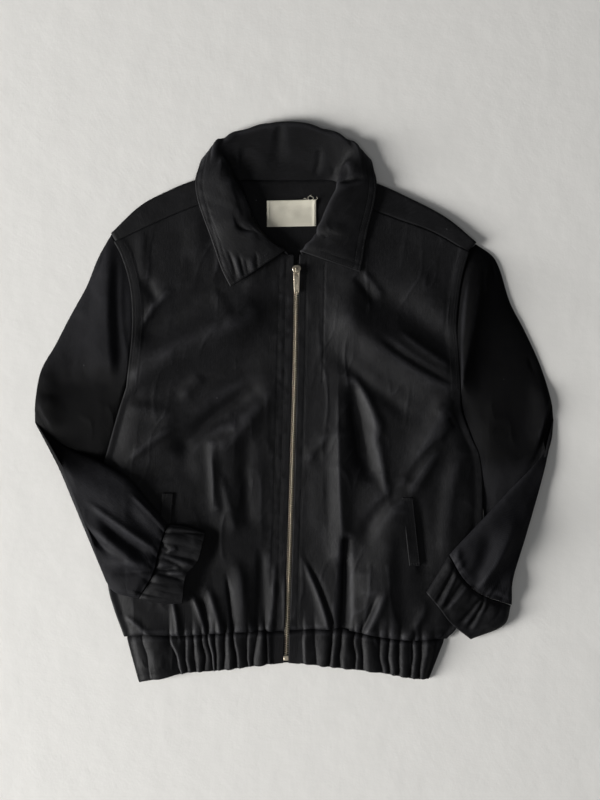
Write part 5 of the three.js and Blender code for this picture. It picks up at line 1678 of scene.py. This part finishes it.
def thread_black(cloth):
    n = Nodes("black_thread")
    place = n.add("ShaderNodeTexCoord").outputs["Object"]
    twist = n.noise(n.placed(place, (1, 1, 1)), 1800, 2.0)
    return n.surface({
        "Base Color": n.blend(twist, rgba(cloth.color, 0.7), rgba(cloth.worn_color, 0.75)),
        "Roughness": 0.6, "Specular IOR Level": 0.3, "Sheen Weight": 0.05,
        "Normal": n.bump(twist, 0.0001, 0.6),
    })


def zip_tape():
    n = Nodes("zip_tape_weave")
    uv = n.lengths()
    ribs = n.ribs(uv, 0.0008, Distortion=0.6, Detail=1.0)
    yarn = n.noise(uv, 2400, 2.0)
    return n.surface({
        "Base Color": n.blend(yarn, (0.004, 0.004, 0.0044, 1.0), (0.013, 0.013, 0.014, 1.0)),
        "Roughness": 0.75, "Specular IOR Level": 0.2,
        "Normal": n.bump(n.plus(ribs, yarn), 0.0002, 0.8),
    })


def aged_brass(zip_settings):
    n = Nodes("aged_brass")
    place = n.add("ShaderNodeTexCoord").outputs["Object"]
    tarnish = n.span(n.noise(place, 900, 3.0, 0.6), 0.35, 0.7)
    scratches = n.noise(n.placed(place, (1, 0.15, 1)), 4200, 2.0)
    roughness = n.add("ShaderNodeMapRange")
    n.fill(roughness, {"Value": tarnish, "To Min": 0.26, "To Max": 0.46})
    return n.surface({
        "Base Color": n.blend(tarnish, rgba(zip_settings.color, 1.25), rgba(zip_settings.color, 0.62)),
        "Metallic": 1.0, "Roughness": roughness.outputs["Result"],
        "Normal": n.bump(scratches, 0.00004, 0.5),
    })


def cream_ribbon():
    n = Nodes("cream_ribbon")
    uv = n.lengths()
    weft = n.ribs(uv, 0.0005, "Y", Distortion=0.8, Detail=2.0)
    yarn = n.noise(n.placed(uv, (0.3, 1, 1)), 2800, 2.0)
    soil = n.noise(uv, 60, 3.0)
    shade = n.plus(n.times(yarn, 0.6), n.times(soil, 0.4))
    return n.surface({
        "Base Color": n.blend(shade, (0.60, 0.56, 0.45, 1.0), (0.80, 0.77, 0.66, 1.0)),
        "Roughness": 0.7, "Specular IOR Level": 0.3, "Sheen Weight": 0.15,
        "Normal": n.bump(n.plus(weft, yarn), 0.00012, 0.7),
    })


def pale_plaster(color):
    n = Nodes("pale_plaster")
    place = n.add("ShaderNodeTexCoord").outputs["Object"]
    broad = n.noise(place, 3.2, 3.0, 0.5)
    trowel = n.noise(place, 26, 4.0, 0.55)
    grain = n.noise(place, 420, 3.0, 0.6)
    shade = n.plus(n.times(broad, 0.6), n.times(trowel, 0.4))
    relief = n.plus(n.times(trowel, 1.0), n.times(grain, 0.12))
    return n.surface({
        "Base Color": n.blend(shade, rgba(color, 0.965), rgba(color, 1.0)),
        "Roughness": 0.72, "Specular IOR Level": 0.3, "Normal": n.bump(relief, 0.0016, 0.35),
    })


def shared(name, make, *settings):
    """A material of this script by name, made on first use."""
    return bpy.data.materials.get(name) or make(*settings)


def declared(piece):
    """Returns the piece as it is."""
    return piece


def cloth_and_sewing(context):
    return context.scene.blouson_cloth, context.scene.blouson_sewing


# ---------------------------------------------------------------- one operator for each piece or group
class BLOUSON_OT_back(Operator):
    """Makes the back, flat on the floor, with its shoulders rolled over to the forward seams"""

    bl_idname = "blouson.back"
    bl_label = "Back"

    def execute(self, context):
        cloth = context.scene.blouson_cloth
        declared(cloth_piece(back_sheet(), "back", cloth.wall, shared("black_denim", denim, cloth)))
        return {"FINISHED"}


class BLOUSON_OT_fronts(Operator):
    """Makes both fronts with their folds, and the topstitching of armholes and placket"""

    bl_idname = "blouson.fronts"
    bl_label = "Fronts"

    def execute(self, context):
        cloth, sewing = cloth_and_sewing(context)
        fabric = shared("black_denim", denim, cloth)
        thread = shared("black_thread", thread_black, cloth)
        for side in SIDES:
            name = f"front_{side}"
            sheet = front_sheet(side, cloth)
            sheet.rub(RUB["front"])
            piece = cloth_piece(sheet, name, cloth.wall, fabric)
            context.view_layer.update()
            armhole = Outline(BODY[side]["armhole"])(np.linspace(0.015, 0.975, 130))
            lines = []
            for inside in (1.5, FELL_WIDTH - 1.4):
                lines.append(dropped(piece, offset(armhole, inside * SIDEWARD[side])))
            for off, low, high in placket_lines(side):
                y = np.linspace(low, high, 260)
                lines.append(dropped(piece, np.stack([zip_x(y) + off, y], axis=1)))
            stitches = settled(stitched(f"{name}_stitches", lines, thread, sewing), "denim")
            declared(piece)
        return {"FINISHED"}


class BLOUSON_OT_sleeves(Operator):
    """Makes both sleeves as flattened tubes, their forearms folded in over the body"""

    bl_idname = "blouson.sleeves"
    bl_label = "Sleeves"

    def execute(self, context):
        cloth, sewing = cloth_and_sewing(context)
        fabric = shared("black_denim_shaded_sleeve", shaded_sleeve_denim, cloth)
        for side in SIDES:
            name = f"sleeve_{side}"
            sheet = sleeve_sheet(side, cloth, sewing)
            sheet.rub(RUB["sleeve"])
            # Painted shade: each sleeve's colour is darkened over a stretch along Y.
            sheet.paint_shade(*PAINTED_ARM_SHADE[side])
            declared(cloth_piece(sheet, name, cloth.wall, fabric))
        return {"FINISHED"}


class BLOUSON_OT_cuffs(Operator):
    """Makes both gathered cuffs"""

    bl_idname = "blouson.cuffs"
    bl_label = "Cuffs"

    def execute(self, context):
        cloth, sewing = cloth_and_sewing(context)
        fabric = shared("black_denim", denim, cloth)
        for side in SIDES:
            name = f"cuff_{side}"
            sheet = cuff_sheet(side, cloth, sewing)
            sheet.rub(RUB["cuff"])
            declared(cloth_piece(sheet, name, cloth.wall, fabric))
        return {"FINISHED"}


class BLOUSON_OT_hem(Operator):
    """Makes the gathered hem band, its two front halves and its back"""

    bl_idname = "blouson.hem"
    bl_label = "Hem band"

    def execute(self, context):
        cloth = context.scene.blouson_cloth
        fabric = shared("black_denim", denim, cloth)
        for side in SIDES:
            name = f"hem_front_{side}"
            sheet = hem_front_sheet(side, cloth)
            sheet.rub(RUB["hem"])
            declared(cloth_piece(sheet, name, cloth.casing_wall, fabric))
        declared(cloth_piece(hem_back_sheet(), "hem_back", cloth.casing_wall, fabric))
        return {"FINISHED"}


class BLOUSON_OT_collar(Operator):
    """Makes the turned-down collar and its two rows of topstitching"""

    bl_idname = "blouson.collar"
    bl_label = "Collar"

    def execute(self, context):
        cloth, sewing = cloth_and_sewing(context)
        sheet = collar_sheet(cloth)
        sheet.rub(RUB["collar"])
        piece = cloth_piece(sheet, "collar", cloth.collar_wall, shared("black_denim", denim, cloth))
        facing = np.sign(sheet.normals[..., 2].mean())
        lines = []
        for distance in COLLAR_STITCH_LINES:
            points, normals = inset_rows(sheet, distance)
            normals = normals * facing
            lines.append((points + normals * cloth.collar_wall / MM / 2, normals))
        thread = shared("black_thread", thread_black, cloth)
        stitches = settled(stitched("collar_stitches", lines, thread, sewing), "denim")
        declared(piece)
        return {"FINISHED"}


class BLOUSON_OT_welts(Operator):
    """Makes the welts of the two slanted pockets, with a bartack at each end"""

    bl_idname = "blouson.welts"
    bl_label = "Pocket welts"

    def execute(self, context):
        cloth, sewing = cloth_and_sewing(context)
        fabric = shared("black_denim", denim, cloth)
        thread = shared("black_thread", thread_black, cloth)
        for side in SIDES:
            name = f"pocket_welt_{side}"
            piece = cloth_piece(welt_sheet(side), name, cloth.wall, fabric)
            context.view_layer.update()
            lines = []
            (head_x, head_y), (foot_x, foot_y) = WELT[side]["head"], WELT[side]["foot"]
            for share in (0.02, 0.04, 0.965, 0.985):
                x = mix(head_x, foot_x, share) + np.linspace(-0.42, 0.42, 12) * (WELT_WIDTH - 1.2)
                y = mix(head_y, foot_y, share) + 0 * x
                lines.append(dropped(piece, np.stack([x, y], axis=1)))
            share = np.linspace(0.02, 0.98, 60)
            x = mix(head_x, foot_x, share) + 0.40 * (WELT_WIDTH - 1.2)
            lines.append(dropped(piece, np.stack([x, mix(head_y, foot_y, share)], axis=1)))
            stitches = settled(stitched(f"{name}_stitches", lines, thread, sewing), "denim")
            declared(piece)
        return {"FINISHED"}


class BLOUSON_OT_label(Operator):
    """Makes the bare woven label in the neck, with its stitching and a few loose threads"""

    bl_idname = "blouson.label"
    bl_label = "Neck label"

    def execute(self, context):
        sewing = context.scene.blouson_sewing
        ribbon = shared("cream_ribbon", cream_ribbon)
        piece = cloth_piece(label_sheet(), "neck_label", LABEL_WALL * MM, ribbon, "label")
        context.view_layer.update()
        lines = []
        for end in (-0.46, 0.46):
            up = np.linspace(-0.44, 0.44, 40) * LABEL["height"]
            x = LABEL["x"] + end * LABEL["width"] + 0 * up
            lines.append(dropped(piece, np.stack([x, LABEL["y"] + up + end * LABEL["lean"]], axis=1)))
        stitches = settled(stitched("label_stitches", lines, ribbon, sewing), "label")
        right_end, top = LABEL["x"] + LABEL["width"] / 2, LABEL["y"] + LABEL["height"] / 2
        lines = [[(right_end + x, top + y, z) for x, y, z in line] for line in LOOSE_THREADS]
        threads = settled(strands("label_threads", lines, THREAD_RADIUS, ribbon), "label")
        declared(piece)
        return {"FINISHED"}


class BLOUSON_OT_zip(Operator):
    """Makes the zip's tapes, its two rows of teeth and its bottom stop"""

    bl_idname = "blouson.zip"
    bl_label = "Zip"

    def execute(self, context):
        settings = context.scene.blouson_zip
        brass = shared("aged_brass", aged_brass, settings)
        for side in SIDES:
            name = f"zip_tape_{side}"
            low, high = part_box(name)
            sheet = tape_sheet(side, low.y / MM, high.y / MM)
            weave = shared("zip_tape_weave", zip_tape)
            declared(cloth_piece(sheet, name, TAPE_WALL * MM, weave, "zip_tape"))
        settled(zip_teeth(brass, settings.pitch / MM), "brass", "zip_teeth")
        low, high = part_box("zip_bottom_stop")
        half = (high.x - low.x) / 2 / MM
        middle = (low.x + high.x) / 2 / MM
        end, foot, head = half - STOP_ROUND, STOP_ROUND, STOP_LENGTH - STOP_ROUND
        rounds = ((-end, foot, 270), (-end, head, 180), (end, head, 90), (end, foot, 0))
        corners = [arc(x, y, STOP_ROUND, start, start - 90, 5) for x, y, start in rounds]
        outline = [(x + middle, y + low.y / MM) for corner in corners for x, y in corner]
        stop = prism("bottom_stop", [outline], low.z / MM, high.z / MM, 0.4, brass)
        settled(stop, "brass", "zip_bottom_stop")
        return {"FINISHED"}


class BLOUSON_OT_slider(Operator):
    """Makes the slider with its bail, and the pull tab that swings on it"""

    bl_idname = "blouson.slider"
    bl_label = "Slider and pull tab"

    def execute(self, context):
        brass = shared("aged_brass", aged_brass, context.scene.blouson_zip)
        settled(zip_slider(brass), "brass", "zip_slider")
        settled(pull_tab(brass), "brass", "zip_pull_tab", body=TAB_BODY)
        return {"FINISHED"}


class BLOUSON_OT_stage(Operator):
    """Makes the floor, the overhead camera and the soft light"""

    bl_idname = "blouson.stage"
    bl_label = "Stage"

    def execute(self, context):
        stage = context.scene.blouson_stage
        half = FLOOR_HALF
        corners = np.array([(-half, -half, 0), (half, -half, 0), (half, half, 0), (-half, half, 0)])
        floor = new_mesh("floor", corners / MM - (0, 0, FLOOR_DROP), np.array([(0, 1, 2, 3)]))
        paint(floor, pale_plaster(stage.floor_color))

        lens = bpy.data.cameras.new("camera")
        lens.sensor_fit = "VERTICAL"
        lens.sensor_height = 24
        lens.lens = lens.sensor_height * stage.camera_height / stage.framed_height
        camera = linked("camera", lens)
        camera.location = (*CAMERA_PLACE, stage.camera_height)
        context.scene.camera = camera

        add_light("key", KEY_PLACE, 2.0, stage.key_strength)
        add_light("fill", FILL_PLACE, 2.4, stage.key_strength * FILL_SHARE)
        world = bpy.data.worlds.new("room")
        world.use_nodes = True
        background = world.node_tree.nodes["Background"]
        background.inputs["Color"].default_value = (0.93, 0.96, 1.0, 1.0)
        background.inputs["Strength"].default_value = ROOM_STRENGTH
        context.scene.world = world
        context.scene.view_settings.view_transform = "Standard"
        return {"FINISHED"}


def add_light(name, place, size, power):
    lamp = bpy.data.lights.new(name, "AREA")
    lamp.shape = "SQUARE"
    lamp.size = size
    lamp.energy = power
    lamp.color = LIGHT_COLOR
    light = linked(name, lamp)
    light.location = place
    light.rotation_euler = (-Vector(place)).to_track_quat("-Z", "Y").to_euler()


OPERATORS = (
    BLOUSON_OT_stage,
    BLOUSON_OT_back,
    BLOUSON_OT_zip,
    BLOUSON_OT_slider,
    BLOUSON_OT_fronts,
    BLOUSON_OT_welts,
    BLOUSON_OT_hem,
    BLOUSON_OT_sleeves,
    BLOUSON_OT_cuffs,
    BLOUSON_OT_label,
    BLOUSON_OT_collar,
)


class BLOUSON_PT_pieces(Panel):
    """Lists the pieces of the blouson"""

    bl_idname = "BLOUSON_PT_pieces"
    bl_label = "Blouson"
    bl_space_type = "VIEW_3D"
    bl_region_type = "UI"
    bl_category = "Blouson"

    def draw(self, context):
        for operator in OPERATORS:
            self.layout.operator(operator.bl_idname)
        for group in ("blouson_cloth", "blouson_sewing", "blouson_zip", "blouson_stage"):
            settings = getattr(context.scene, group)
            box = self.layout.box()
            for key in settings.bl_rna.properties.keys():
                if key not in ("rna_type", "name"):
                    box.prop(settings, key)


SETTINGS = {
    "blouson_cloth": BlousonCloth,
    "blouson_sewing": BlousonSewing,
    "blouson_zip": BlousonZip,
    "blouson_stage": BlousonStage,
}


def register():
    for settings in SETTINGS.values():
        bpy.utils.register_class(settings)
    for operator in OPERATORS:
        bpy.utils.register_class(operator)
    bpy.utils.register_class(BLOUSON_PT_pieces)
    for name, settings in SETTINGS.items():
        setattr(bpy.types.Scene, name, PointerProperty(type=settings))


def unregister():
    for name in SETTINGS:
        delattr(bpy.types.Scene, name)
    bpy.utils.unregister_class(BLOUSON_PT_pieces)
    for operator in reversed(OPERATORS):
        bpy.utils.unregister_class(operator)
    for settings in reversed(list(SETTINGS.values())):
        bpy.utils.unregister_class(settings)


def main():
    register()
    for operator in OPERATORS:
        group, name = operator.bl_idname.split(".")
        getattr(getattr(bpy.ops, group), name)()


if __name__ == "__main__":
    main()
